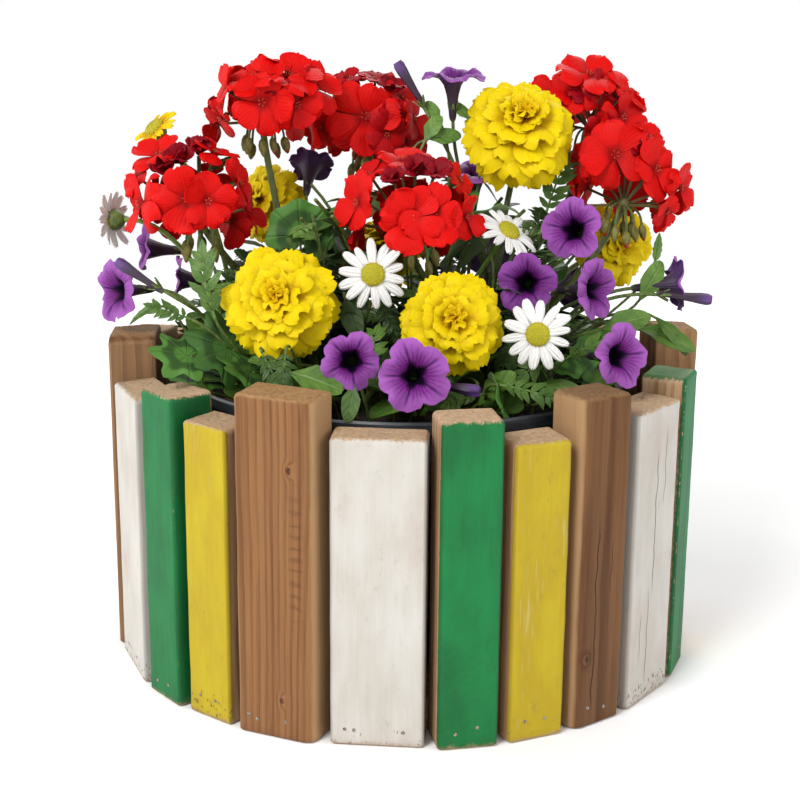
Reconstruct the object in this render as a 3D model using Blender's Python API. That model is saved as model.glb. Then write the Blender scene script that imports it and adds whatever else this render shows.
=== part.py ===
"""Wooden flower planter: timber slats stand round a base disc, a liner pot of soil stands inside
them, and pelargoniums, marigolds, daisies and petunias grow in the soil.

+Z is up and the front of the planter faces -Y. Lengths below are in millimetres, and the objects
are made in metres. A turn is an angle in degrees round the upright axis, measured from the front
and positive toward +X. A lift is an angle in degrees above the horizontal.
"""
import math
import random

import bmesh
import bpy
from mathutils import Matrix, Vector
from mathutils.bvhtree import BVHTree

MM = 0.001
GAP = 0.3

# Base disc
DISC_RADIUS = 150.0
DISC_THICK = 18.0
DISC_SIDES = 40

# Slats, in order from the left side round past the front: finish, width, height, thickness
SLATS = (
    ("bare", 42.0, 194.5, 28.0), ("white", 53.0, 170.0, 25.0),
    ("green", 32.0, 178.5, 26.5), ("yellow", 31.5, 167.5, 24.0),
    ("bare", 45.0, 188.5, 24.5), ("white", 50.0, 169.5, 20.0),
    ("green", 33.0, 179.5, 24.5), ("yellow", 33.0, 166.0, 24.0),
    ("bare", 34.0, 186.0, 25.5), ("white", 47.0, 171.5, 24.5),
    ("green", 33.0, 181.0, 25.5), ("yellow", 31.0, 165.0, 24.0),
    ("bare", 42.0, 195.5, 26.0), ("white", 48.0, 172.0, 24.0),
    ("green", 32.0, 180.0, 25.0), ("yellow", 32.0, 167.0, 24.5),
    ("bare", 44.0, 190.0, 26.0), ("white", 49.0, 169.0, 24.0),
    ("green", 32.0, 179.0, 25.5), ("yellow", 32.0, 168.0, 24.0),
    ("bare", 43.0, 191.0, 26.5), ("white", 49.0, 172.0, 24.5),
    ("green", 32.0, 180.0, 25.0), ("yellow", 31.0, 187.0, 25.0),
)
SLAT_START = -93.1    # turn at which the first slat begins
SLAT_EDGE = 1.8       # bevel of the top and of the outer corners
SLAT_SLANT = 0.03     # most that a top slopes, as a share of its run

# Liner pot and soil
POT_SIDES = 30
POT_FOOT = 104.0
POT_LIP = 134.0
POT_TOP = 168.0
POT_WALL = 2.4
LIP_DEPTH = 8.0
LIP_STEP = 3.0
SOIL_TOP = 153.0
SOIL_RISE = 4.0
HOLE_DEPTH = 26.0
HOLE_SPARE = 0.4
CROWN_SIDES = 6

# Plants: blade thickness, spare room round a stem or leaf, hanging buds under each pelargonium
# head, petals in each tier of a marigold, points along a stem, forks tried for a new stem, flat
# stalk of a leaf, and the angle in degrees from which an edge is shaded sharp
BLADE = 0.9
CLEAR = 0.9
BUDS = 2
MARIGOLD_PETALS = 7
STEM_POINTS = 5
FORKS = 3
STALK = 4.0
SHARP = 40.0
SEED = 36

# Blooms: plant, place of the bloom's middle, turn, lift, radius
PELARGONIUMS = {
    "pelargonium_head_1": ("pelargonium_plant_left", (-130, -25, 274), -38, 52, 38),
    "pelargonium_head_2": ("pelargonium_plant_left", (-91, 20, 333), -40, 80, 37),
    "pelargonium_head_3": ("pelargonium_plant_left", (-22, 54, 318), 20, 70, 36),
    "pelargonium_head_4": ("pelargonium_plant_right", (1, -53, 272), 0, 56, 37.5),
    "pelargonium_head_5": ("pelargonium_plant_right", (117, 48, 334), 60, 78, 37),
    "pelargonium_head_6": ("pelargonium_plant_right", (136, 4, 284), 50, 66, 36),
}
MARIGOLDS = {
    "marigold_head_1": ("marigold_plant_left", (-71, -91, 225), -6, 26, 31.5),
    "marigold_head_2": ("marigold_plant_right", (23, -98, 216), 4, 20, 29),
    "marigold_head_3": ("marigold_plant_right", (65, -2, 311), 2, 42, 35),
    "marigold_head_4": ("marigold_plant_left", (-94, 60, 260), -150, 40, 26),
    "marigold_head_5": ("marigold_plant_right", (134, 50, 240), 70, 30, 25),
    "marigold_head_6": ("marigold_plant_left", (-18, 112, 226), -172, 35, 29),
}
DAISIES = {
    "daisy_1": ("daisy_plant_right", (-19, -84, 239), 2, 16, 20.5),
    "daisy_2": ("daisy_plant_right", (58, -45, 259), 42, 48, 20),
    "daisy_3": ("daisy_plant_right", (70, -108, 211), -12, 12, 20.5),
    "daisy_4": ("daisy_plant_left", (-178, -2, 258), -108, -4, 19),
    "daisy_5": ("daisy_plant_left", (-153, 12, 312), -108, 34, 17),
}
# Flowers of each petunia stem: place of the middle, turn, lift, radius, which is 0 where closed
PETUNIAS = {
    "petunia_spray_front": (
        ((-30, -124, 199), 0, 12, 16), ((4, -140, 195), 2, 14, 19.5),
        ((38, -128, 184), 70, -6, 0)),
    "petunia_spray_left": (
        ((-176, -28, 219), -46, 4, 19), ((-166, 14, 239), -70, 6, 15),
        ((-150, 42, 216), -84, 6, 15), ((-167, -44, 239), -100, 30, 0)),
    "petunia_spray_right": (
        ((66, -72, 233), -8, 10, 17), ((111, -60, 228), 48, 8, 18),
        ((119, -106, 199), 34, 10, 18), ((165, -18, 225), 95, 5, 17),
        ((178, -34, 218), 84, -4, 0)),
    "petunia_spray_middle": (
        ((91, -56, 262), -24, 14, 18), ((26, 12, 344), -10, 82, 19),
        ((42, 27, 291), 10, 78, 19), ((-7, 14, 351), -90, 58, 0)),
    "petunia_spray_back": (
        ((-62, 74, 289), 175, 40, 15), ((60, 122, 222), 160, 22, 19),
        ((112, 92, 206), 130, 18, 18)),
}
PETUNIA_DEPTH = 32.0

# Where each plant stands in the soil: x, y, crown radius
CROWNS = {
    "pelargonium_plant_left": (-62, 22, 3.6), "pelargonium_plant_right": (64, 22, 3.6),
    "marigold_plant_left": (-46, -40, 3.0), "marigold_plant_right": (40, -34, 3.0),
    "daisy_plant_left": (-98, -18, 2.4), "daisy_plant_right": (6, -66, 2.4),
    "petunia_spray_front": (-18, -100, 2.0), "petunia_spray_left": (-94, -52, 2.0),
    "petunia_spray_right": (88, -48, 2.0), "petunia_spray_middle": (12, 14, 2.0),
    "petunia_spray_back": (22, 84, 2.0), "petunia_leafy_plant": (2, 46, 2.4),
}

# Large leaves that show: kind, place of the leaf's base, turn and lift it points to, length
SHOWN_LEAVES = {
    "pelargonium_plant_left": (
        ("round", (-66, -18, 258), 8, 24, 46), ("round", (-112, -72, 214), -30, -12, 46),
        ("round", (-44, -28, 232), 40, 10, 38),
        ("round", (-70, 78, 232), -160, 12, 46), ("round", (-118, 48, 216), -110, 6, 44)),
    "pelargonium_plant_right": (
        ("round", (64, 84, 226), 165, 8, 46), ("round", (112, 30, 222), 95, 10, 42),
        ("round", (14, 76, 250), 178, 20, 44), ("round", (88, -12, 226), 50, 14, 40)),
    "marigold_plant_left": (
        ("cut", (-104, -58, 236), -50, 4, 40), ("cut", (-78, -104, 196), -14, -14, 36),
        ("cut", (-76, 64, 212), -160, 10, 44), ("cut", (-30, -84, 206), 30, 6, 34)),
    "marigold_plant_right": (
        ("cut", (88, 4, 270), 55, 16, 44), ("cut", (52, -20, 262), -50, 20, 40),
        ("cut", (92, -76, 208), 40, 0, 38), ("cut", (70, 62, 224), 150, 10, 44)),
    "petunia_leafy_plant": (
        ("plain", (22, 26, 292), -60, 50, 34), ("plain", (40, 40, 276), 60, 30, 32),
        ("plain", (96, 8, 262), 60, 30, 32), ("plain", (150, -26, 212), 60, 4, 36),
        ("plain", (140, -40, 206), 20, -8, 34), ("plain", (-136, 2, 214), -60, 12, 34)),
}

# Leaves placed by rule on the stems: kind and number, and the range of their lengths
LEAF_COUNTS = {
    "pelargonium_plant_left": ("round", 3), "pelargonium_plant_right": ("round", 4),
    "marigold_plant_left": ("cut", 1), "marigold_plant_right": ("cut", 1),
    "daisy_plant_left": ("slim", 2), "daisy_plant_right": ("slim", 2),
    "petunia_leafy_plant": ("plain", 7),
}
LEAF_SIZES = {"round": (36, 50), "cut": (36, 46), "slim": (26, 34), "plain": (28, 40)}

FINISHES = {
    "bare wood": ((0.42, 0.25, 0.13), 0.75), "white paint": ((0.78, 0.75, 0.70), 0.6),
    "green paint": ((0.03, 0.30, 0.13), 0.55), "yellow paint": ((0.62, 0.46, 0.04), 0.55),
    "disc wood": ((0.50, 0.36, 0.20), 0.8), "dark plastic": ((0.05, 0.05, 0.055), 0.5),
    "soil": ((0.045, 0.03, 0.02), 0.95), "leaf green": ((0.06, 0.17, 0.03), 0.6),
    "pelargonium red": ((0.72, 0.01, 0.01), 0.6), "marigold yellow": ((0.86, 0.62, 0.01), 0.6),
    "daisy white": ((0.85, 0.84, 0.80), 0.6), "daisy yellow": ((0.75, 0.66, 0.03), 0.7),
    "petunia purple": ((0.20, 0.03, 0.38), 0.6),
}


# Shapes: each is a list of points and a list of faces that close round them

def turned(profile, sides):
    """Solid turned about Z, from its underside to its top. Each profile entry is radius, height
    and, for a lobed ring, the share by which its corners step in and out."""
    points, faces, rings = [], [], []
    for radius, height, *lobe in profile:
        ring = []
        for k in range(sides if radius else 1):
            angle = 2 * math.pi * k / sides
            reach = radius * (1 + (lobe[0] if lobe else 0.0) * (-1) ** k)
            ring.append(len(points))
            points.append(Vector((reach * math.cos(angle), reach * math.sin(angle), height)))
        rings.append(ring)
    for low, high in zip(rings, rings[1:]):
        for k in range(sides):
            j = (k + 1) % sides
            if len(low) == 1:
                faces.append((low[0], high[j], high[k]))
            elif len(high) == 1:
                faces.append((low[k], low[j], high[0]))
            else:
                faces.append((low[k], low[j], high[j]))
                faces.append((low[k], high[j], high[k]))
    if len(rings[0]) > 1:
        faces.append(tuple(reversed(rings[0])))
    if len(rings[-1]) > 1:
        faces.append(tuple(rings[-1]))
    return points, faces


def tube(path, radii, sides):
    """Closed tube along a path, with one radius for each point of it."""
    points, faces = [], []
    side = None
    for i, (middle, radius) in enumerate(zip(path, radii)):
        before, after = path[max(i - 1, 0)], path[min(i + 1, len(path) - 1)]
        along = (after - before).normalized()
        if side is None:
            side = along.orthogonal().normalized()
        side = (side - along * side.dot(along)).normalized()
        other = along.cross(side)
        for k in range(sides):
            angle = 2 * math.pi * k / sides
            points.append(middle + radius * (side * math.cos(angle) + other * math.sin(angle)))
    for i in range(len(path) - 1):
        for k in range(sides):
            a, b = i * sides + k, i * sides + (k + 1) % sides
            faces.append((a, b, b + sides))
            faces.append((a, b + sides, a + sides))
    last = (len(path) - 1) * sides
    faces.append(tuple(reversed(range(sides))))
    faces.append(tuple(range(last, last + sides)))
    return points, faces


def plate(middles, triangles, rim, thick=BLADE):
    """Thin blade round a middle surface, with the same triangles on both faces."""
    count = len(middles)
    half = Vector((0.0, 0.0, thick / 2))
    points = [Vector(p) + half for p in middles] + [Vector(p) - half for p in middles]
    faces = list(triangles) + [tuple(i + count for i in reversed(t)) for t in triangles]
    for a, b in zip(rim, rim[1:] + rim[:1]):
        faces.append((a, a + count, b + count))
        faces.append((a, b + count, b))
    return points, faces


def moved(shape, matrix):
    points, faces = shape
    return [matrix @ p for p in points], faces


def spun(shape, turn):
    return moved(shape, Matrix.Rotation(turn, 4, "Z"))


# Blooms: each rests on its stem at the origin and faces +Z

def marigold(radius, rng):
    """Double head: tiers of notched petals, each tier a thin skirt round one small core."""
    sides = 3 * MARIGOLD_PETALS
    points, faces, rings = [], [], []

    def ring(reach, height, tier, notched=True):
        ids = []
        for k in range(sides):
            step = (k + tier) % 3
            out = reach * (rng.uniform(0.95, 1.04) if step else 0.74) if notched else reach
            lift = radius * (0.0, 0.035, -0.035)[step] if notched else 0.0
            angle = 2 * math.pi * (k + 0.5 * tier) / sides
            ids.append(len(points))
            points.append(Vector((out * math.cos(angle), out * math.sin(angle), height + lift)))
        rings.append(ids)

    def skirt(reach, height, tier):
        """Under and upper edge of one tier, a blade's thickness apart."""
        start = len(points)
        ring(reach, height, tier)
        upper = [Vector((p.x * 0.985, p.y * 0.985, p.z + BLADE * 1.2)) for p in points[start:]]
        rings.append(list(range(len(points), len(points) + sides)))
        points.extend(upper)

    ring(0.17 * radius, GAP, 0, False)
    skirt(radius, 0.17 * radius, 0)
    ring(0.34 * radius, 0.27 * radius, 0, False)
    skirt(0.83 * radius, 0.42 * radius, 1)
    ring(0.27 * radius, 0.40 * radius, 1, False)
    skirt(0.55 * radius, 0.62 * radius, 2)
    ring(0.18 * radius, 0.50 * radius, 2, False)
    for low, high in zip(rings, rings[1:]):
        for k in range(sides):
            j = (k + 1) % sides
            faces += [(low[k], low[j], high[j]), (low[k], high[j], high[k])]
    faces += [tuple(reversed(rings[0])), tuple(rings[-1])]
    return [(points, faces)]


def floret(radius, stalk):
    """Open flower of five broad petals with a sunken middle, on a stalk that runs down -Z."""
    cup, half, thin = 0.16 * radius, BLADE / 2, 0.9
    top, under = [Vector((0, 0, half - cup))], []
    for k in range(15):
        angle = 2 * math.pi * k / 15
        notch = k % 3 == 0
        reach = radius * (0.7 if notch else 1.0)
        at = Vector((reach * math.cos(angle), reach * math.sin(angle), -cup / 2 if notch else 0))
        top.append(at + Vector((0, 0, half)))
        under.append(at - Vector((0, 0, half)))
    points = top + under
    for level in (-cup - 2 * half, -stalk):
        for k in range(3):
            angle = 2 * math.pi * (k + 0.2) / 3
            points.append(Vector((thin * math.cos(angle), thin * math.sin(angle), level)))
    faces = []
    for k in range(15):
        j = (k + 1) % 15
        faces += [(0, 1 + k, 1 + j), (1 + k, 16 + k, 16 + j), (1 + k, 16 + j, 1 + j)]
        near = 31 + k // 5
        faces.append((16 + j, 16 + k, near))
        if k % 5 == 4:
            faces.append((16 + j, near, 31 + (k // 5 + 1) % 3))
    for k in range(3):
        j = (k + 1) % 3
        faces += [(31 + j, 31 + k, 34 + k), (31 + j, 34 + k, 34 + j)]
    faces.append((36, 35, 34))
    return points, faces


def umbel(radius, rng):
    """Round head of florets, each on its stalk from one hub."""
    shapes = [turned([(3.4, GAP), (3.4, 7.0)], 5)]
    for count, polar in ((5, 74), (2, 26)):
        first = rng.random()
        for k in range(count):
            around = 2 * math.pi * (k + first) / count
            down = math.radians(polar + rng.uniform(-5, 5))
            out = Vector((math.sin(down) * math.cos(around), math.sin(down) * math.sin(around),
                          math.cos(down)))
            stalk = radius * rng.uniform(0.84, 0.92)
            face = out.to_track_quat("Z", "Y").to_matrix().to_4x4()
            place = Matrix.Translation(out * stalk + Vector((0, 0, 4.5))) @ face
            shapes.append(moved(floret(radius * rng.uniform(0.42, 0.45), stalk - 1.5), place))
    return shapes


def daisy(radius, rng, count=12):
    """Ray petals round a middle that the centre sits on, cut from one thin bowl."""
    seat = GAP + BLADE / 2
    middles = [(0, 0, seat)]
    steps = ((0.0, 0.42, 0.4), (0.28, 0.8, 1.0), (0.5, 1.0, 0.2), (0.72, 0.8, 1.0))
    for k in range(count):
        length = radius * rng.uniform(0.95, 1.04)
        for share, reach, rise in steps:
            angle = 2 * math.pi * (k + share) / count
            middles.append((length * reach * math.cos(angle), length * reach * math.sin(angle),
                            seat + rise))
    ring = list(range(1, len(middles)))
    points, faces = plate(middles, [(0, a, b) for a, b in zip(ring, ring[1:] + ring[:1])], ring)
    return [(points, faces)]


def daisy_centre():
    return [turned([(0, 1.55), (6.6, 2.1), (5.6, 5.2), (0, 6.4)], 10)]


def trumpet(radius):
    """Petunia flower: a tube that opens into five lobes round a deep throat."""
    deep = PETUNIA_DEPTH
    return turned([(1.9, 0), (5.4, deep - 8), (radius, deep - 1.6, 0.09),
                   (radius * 0.97, deep, 0.09), (0, deep - 10)], 10)


def closed_flower(length):
    """Furled petunia: a slender spindle."""
    return turned([(1.4, 0), (2.8, 0.75 * length), (0, length)], 5)


# Leaves: each starts at the origin, points along +X and has its upper face up

def arched(shape, length, sag):
    points, faces = shape
    return [Vector((p.x, p.y, p.z - sag * length * (p.x / length) ** 2)) for p in points], faces


def round_leaf(length, stalk):
    """Kidney leaf with a scalloped, waved edge and a deep notch at the stalk."""
    middle = 0.45 * length
    middles = [(middle, 0, -0.1 * length)]
    for k in range(11):
        angle = math.radians(-160 + 320 * k / 10)
        reach = length * (0.56 if k % 2 else 0.5)
        middles.append((middle + reach * math.cos(angle), reach * math.sin(angle),
                        0.03 * length * (-1) ** k))
    for x, y in ((0.2 * length, 1.0), (-stalk, 1.0), (-stalk, -1.0), (0.2 * length, -1.0)):
        middles.append((x, y, 0))
    ring = list(range(1, len(middles)))
    return plate(middles, [(0, a, b) for a, b in zip(ring, ring[1:] + ring[:1])], ring)


def cut_leaf(length, stalk, pairs, reach, rib=1.1):
    """Leaf cut to its rib into pairs of leaflets and an end leaflet, in one thin outline."""
    step = length / (pairs + 1.2)
    middles, triangles = [(-stalk, -rib, 0), (-stalk, rib, 0)], [(0, 2, 6), (0, 6, 1)]
    lower, upper = [0], [1]
    for k in range(pairs):
        x, size = step * (k + 0.4), reach * (1 - 0.12 * abs(k - 1))
        n = len(middles)
        for side in (-1, 1):
            middles += [(x, side * rib, 0), (x + 0.2 * size, side * 0.62 * size, 1.2),
                        (x + 0.7 * size, side * size, -0.8), (x + 0.55 * step, side * rib, 0)]
        lower += [n, n + 1, n + 2, n + 3]
        upper += [n + 4, n + 5, n + 6, n + 7]
        triangles += [(n, n + 1, n + 3), (n + 1, n + 2, n + 3), (n + 4, n + 7, n + 5),
                      (n + 5, n + 7, n + 6), (n, n + 3, n + 7), (n, n + 7, n + 4)]
        if k:
            triangles += [(n - 5, n, n + 4), (n - 5, n + 4, n - 1)]
    n = len(middles)
    wide = step * (pairs + 0.25)
    middles += [(wide, -0.5 * reach, 0.8), (length, 0, -1.0), (wide, 0.5 * reach, 0.8)]
    triangles += [(n - 5, n, n + 1), (n - 5, n + 1, n - 1), (n - 1, n + 1, n + 2)]
    return plate(middles, triangles, lower + [n, n + 1, n + 2] + upper[::-1])


def oval_leaf(length, stalk):
    """Pointed oval leaf, folded a little along its rib."""
    wide = 0.25 * length
    middles = [(-stalk, -0.9, 0), (-stalk, 0.9, 0), (0, -1.0, 0), (0, 1.0, 0)]
    for x, half in ((0.3 * length, wide), (0.66 * length, 0.85 * wide)):
        middles += [(x, -half, 0.15 * half), (x, 0, -0.1 * half), (x, half, 0.15 * half)]
    middles.append((length, 0, 0))
    return plate(middles, [(0, 2, 3), (0, 3, 1), (2, 4, 5), (2, 5, 3), (3, 5, 6), (4, 7, 8),
                           (4, 8, 5), (5, 8, 9), (5, 9, 6), (7, 10, 8), (8, 10, 9)],
                 [0, 2, 4, 7, 10, 9, 6, 3, 1])


def leaf(kind, length, stalk):
    """Leaf blade with a short flat stalk behind the origin."""
    if kind == "round":
        return arched(round_leaf(length, stalk), length, 0.12)
    if kind == "cut":
        return arched(cut_leaf(length, stalk, 3, 0.34 * length), length, 0.25)
    if kind == "slim":
        return arched(cut_leaf(length, stalk, 2, 0.2 * length), length, 0.2)
    return arched(oval_leaf(length, stalk), length, 0.2)


# Places and routes

def facing(turn, lift):
    turn, lift = math.radians(turn), math.radians(lift)
    return Vector((math.sin(turn) * math.cos(lift), -math.cos(turn) * math.cos(lift),
                   math.sin(lift)))


def bloom_place(middle, turn, lift, back):
    """Matrix that puts a bloom's seat behind its middle and turns its face outward."""
    face = facing(turn, lift)
    return (Matrix.Translation(Vector(middle) - back * face)
            @ face.to_track_quat("Z", "Y").to_matrix().to_4x4())


def leaf_place(base, turn, lift, roll=0.0):
    """Matrix of a leaf that starts at a point and points to a turn and lift."""
    return (Matrix.Translation(base) @ Matrix.Rotation(math.radians(turn - 90), 4, "Z")
            @ Matrix.Rotation(math.radians(-lift), 4, "Y") @ Matrix.Rotation(roll, 4, "X"))


def curve(start, pull_start, pull_end, end, count):
    """Points along a smooth curve that leaves and arrives along its two pulls."""
    points = []
    for i in range(count):
        t = i / (count - 1)
        points.append(start * (1 - t) ** 3 + 3 * (start + pull_start) * t * (1 - t) ** 2
                      + 3 * (end - pull_end) * t * t * (1 - t) + end * t ** 3)
    return points


class Bed:
    """All that stands so far, so that each new stem or leaf is kept clear of other nodes."""

    def __init__(self):
        self.taken = []

    def add(self, node, shape):
        points, faces = shape
        self.taken.append((node, BVHTree.FromPolygons(points, faces), box(points)))

    def is_clear(self, node, shape, spare=CLEAR):
        points, faces = swollen(shape, spare)
        tree, (low, high) = BVHTree.FromPolygons(points, faces), box(points)
        for other, other_tree, (other_low, other_high) in self.taken:
            if other == node or any(low[i] > other_high[i] or high[i] < other_low[i]
                                    for i in range(3)):
                continue
            if tree.overlap(other_tree):
                return False
        return True


def box(points):
    return ([min(p[i] for p in points) for i in range(3)],
            [max(p[i] for p in points) for i in range(3)])


def swollen(shape, spare):
    """The same shape with its skin moved outward."""
    points, faces = shape
    normals = [Vector() for _ in points]
    for face in faces:
        a, b, c = (points[i] for i in face[:3])
        normal = (b - a).cross(c - a).normalized()
        for i in face:
            normals[i] += normal
    return [p + spare * n.normalized() for p, n in zip(points, normals)], faces


# Objects

def finish(name):
    colour, roughness = FINISHES[name]
    material = bpy.data.materials.get(name) or bpy.data.materials.new(name)
    material.use_nodes = True
    shader = material.node_tree.nodes["Principled BSDF"]
    shader.inputs["Base Color"].default_value = (*colour, 1.0)
    shader.inputs["Roughness"].default_value = roughness
    shader.inputs["Metallic"].default_value = 0.0
    return material


def to_object(name, shape, collection):
    points, faces = shape
    mesh = bpy.data.meshes.new(name)
    mesh.from_pydata([p * MM for p in points], [], faces)
    result = bpy.data.objects.new(name, mesh)
    collection.objects.link(result)
    return result


def combine(target, cutters, operation):
    """Boolean of an object with every object of a collection, which is then removed."""
    change = target.modifiers.new(operation.lower(), "BOOLEAN")
    change.operation = operation
    change.operand_type = "COLLECTION"
    change.collection = cutters
    change.solver = "EXACT"
    bpy.context.view_layer.update()
    ready = target.evaluated_get(bpy.context.evaluated_depsgraph_get())
    mesh = bpy.data.meshes.new_from_object(ready)
    target.modifiers.remove(change)
    old, target.data = target.data, mesh
    mesh.name = target.name
    bpy.data.meshes.remove(old)
    for piece in list(cutters.objects):
        piece_mesh = piece.data
        bpy.data.objects.remove(piece)
        bpy.data.meshes.remove(piece_mesh)
    bpy.data.collections.remove(cutters)


def keep_main_body(mesh):
    """Drops the loose scraps and sealed hollows that a union may leave."""
    work = bmesh.new()
    work.from_mesh(mesh)
    left, bodies = set(work.verts), []
    while left:
        body, edge = set(), [left.pop()]
        while edge:
            vert = edge.pop()
            body.add(vert)
            for link in vert.link_edges:
                other = link.other_vert(vert)
                if other in left:
                    left.remove(other)
                    edge.append(other)
        bodies.append(body)
    bodies.sort(key=len)
    for body in bodies[:-1]:
        bmesh.ops.delete(work, geom=list(body), context="VERTS")
    work.to_mesh(mesh)
    work.free()


def make(name, shapes, finish_name, place=Matrix()):
    """One node from shapes that are joined by a union where there is more than one."""
    scene = bpy.context.scene
    result = to_object(name, shapes[0], scene.collection)
    if len(shapes) > 1:
        rest = bpy.data.collections.new(name + " pieces")
        scene.collection.children.link(rest)
        for i, shape in enumerate(shapes[1:]):
            to_object(f"{name} piece {i}", shape, rest)
        combine(result, rest, "UNION")
        keep_main_body(result.data)
    result.data.materials.clear()
    result.data.materials.append(finish(finish_name))
    turned_place = place.copy()
    turned_place.translation = place.translation * MM
    result.matrix_world = turned_place
    for face in result.data.polygons:
        face.use_smooth = True
    result.data.set_sharp_from_angle(angle=math.radians(SHARP))
    return result


# Planter

def slat(width, height, thick, rng):
    """Upright batten with its inner face on y = 0 and its bevelled top a little out of level."""
    half, edge = width / 2, SLAT_EDGE

    def section(inset, level, slant=(0, 0)):
        side, back, front = half - inset, -inset, inset - thick
        outline = [(-side + edge, front), (side - edge, front), (side, front + edge),
                   (side, back), (-side, back), (-side, front + edge)]
        return [Vector((x, y, level + slant[0] * x + slant[1] * y)) for x, y in outline]

    slant = (rng.uniform(-SLAT_SLANT, SLAT_SLANT), rng.uniform(-SLAT_SLANT, SLAT_SLANT))
    points = section(0, 0) + section(0, height - edge, slant) + section(edge, height, slant)
    faces = [tuple(range(5, -1, -1)), tuple(range(12, 18))]
    for ring in (0, 6):
        for k in range(6):
            a, b = ring + k, ring + (k + 1) % 6
            faces += [(a, b, b + 6), (a, b + 6, a + 6)]
    return points, faces


def slat_places():
    """Turn of each slat's middle, with equal spare angle between neighbours."""
    reach = DISC_RADIUS + GAP
    spans = [2 * math.degrees(math.atan2(width / 2, reach)) for _, width, _, _ in SLATS]
    spare = (360 - sum(spans)) / len(spans)
    turn, turns = SLAT_START, []
    for span in spans:
        turns.append(turn + (span + spare) / 2)
        turn += span + spare
    return turns


def build_planter(bed, rng):
    disc = turned([(DISC_RADIUS, 0), (DISC_RADIUS, DISC_THICK)], DISC_SIDES)
    make("base_disc", [disc], "disc wood")

    for i, (turn, (paint, width, height, thick)) in enumerate(zip(slat_places(), SLATS)):
        name = f"slat_{i + 1:02d}_{paint}"
        shape = slat(width, height, thick, rng)
        place = (Matrix.Rotation(math.radians(turn), 4, "Z")
                 @ Matrix.Translation((0, -(DISC_RADIUS + GAP), 0)))
        make(name, [shape], "bare wood" if paint == "bare" else paint + " paint", place)
        bed.add(name, moved(shape, place))

    foot, floor = DISC_THICK + GAP, DISC_THICK + GAP + POT_WALL
    shoulder = POT_LIP - LIP_STEP
    pot = turned([(POT_FOOT, foot), (shoulder, POT_TOP - LIP_DEPTH),
                  (POT_LIP, POT_TOP - LIP_DEPTH), (POT_LIP, POT_TOP),
                  (POT_LIP - POT_WALL, POT_TOP), (shoulder - POT_WALL, POT_TOP - LIP_DEPTH),
                  (POT_FOOT - POT_WALL, floor)], POT_SIDES)
    make("liner_pot", [pot], "dark plastic")
    bed.add("liner_pot", pot)

    slope = (shoulder - POT_FOOT) / (POT_TOP - LIP_DEPTH - foot)
    wall = POT_FOOT - POT_WALL - 2 * GAP
    reach = wall + slope * (SOIL_TOP - floor)
    soil = turned([(wall, floor + GAP), (reach, SOIL_TOP), (0, SOIL_TOP + SOIL_RISE)], POT_SIDES)
    body = make("soil", [soil], "soil")
    holes = bpy.data.collections.new("stem holes")
    bpy.context.scene.collection.children.link(holes)
    for name, (x, y, radius) in CROWNS.items():
        hole = crown_shape(x, y, radius + HOLE_SPARE, SOIL_TOP - HOLE_DEPTH,
                           SOIL_TOP + 2 * SOIL_RISE)
        to_object("hole for " + name, hole, holes)
    combine(body, holes, "DIFFERENCE")
    bed.add("soil", soil)


def crown_shape(x, y, radius, low, high):
    shape = turned([(radius, low), (radius, high)], CROWN_SIDES)
    return moved(shape, Matrix.Translation((x, y, 0)))


# Plants

def crown_top(plant):
    x, y, _ = CROWNS[plant]
    return Vector((x, y, SOIL_TOP + 2.5 * SOIL_RISE))


def start_crowns(plants):
    for plant, shapes in plants.items():
        x, y, radius = CROWNS[plant]
        shapes.append(crown_shape(x, y, radius, SOIL_TOP - HOLE_DEPTH + GAP,
                                  SOIL_TOP + 3 * SOIL_RISE))


def grow_stem(bed, plants, paths, plant, end, arrive, radius, rng, tries=160):
    """Stem to an end point, from the crown or from the nearest fork of the plant's other stems,
    on the first route that is clear of the rest."""
    forks = [(crown_top(plant), Vector((0, 0, 1)))]
    if paths[plant]:
        forks = [(path[i], (path[i + 1] - path[i - 1]).normalized())
                 for path in paths[plant] for i in (1, 2)]
        forks.sort(key=lambda fork: (fork[0] - end).length)
    for attempt in range(tries):
        start, leave = forks[attempt % min(len(forks), FORKS)]
        span = (end - start).length
        wander = 0.5 * span * attempt / tries
        lean = Vector((rng.uniform(-1, 1), rng.uniform(-1, 1), 0)) * wander
        sway = Vector((rng.uniform(-1, 1), rng.uniform(-1, 1), rng.uniform(-1, 1))) * wander * 0.5
        path = curve(start, leave * 0.35 * span + lean,
                     arrive * span * rng.uniform(0.2, 0.4) + sway, end, STEM_POINTS)
        shape = tube(path, [radius] * STEM_POINTS, 4 if radius > 1.2 else 3)
        if bed.is_clear(plant, shape):
            plants[plant].append(shape)
            bed.add(plant, shape)
            paths[plant].append(path)
            return path
    return None


def spared(shape, share=0.75):
    """The same shape drawn in toward its middle, so that its own stalk is left out of a test."""
    points, faces = shape
    middle = sum(points, Vector()) / len(points)
    return [middle + share * (p - middle) for p in points], faces


def calyx(radius, depth):
    """Green cup that a bloom rests on, down to the end of its stem."""
    return turned([(1.5, -depth), (radius, 0)], 5)


def hanging_bud(turn, rng):
    reach, drop = rng.uniform(8, 12), rng.uniform(11, 16)
    path = [Vector((1, 0, -2.5)), Vector((reach, 0, -3)), Vector((reach + 2, 0, -drop)),
            Vector((reach + 2.5, 0, -drop - 9))]
    return spun(tube(path, [0.9, 0.9, 2.9, 1.0], 4), turn)


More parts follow.
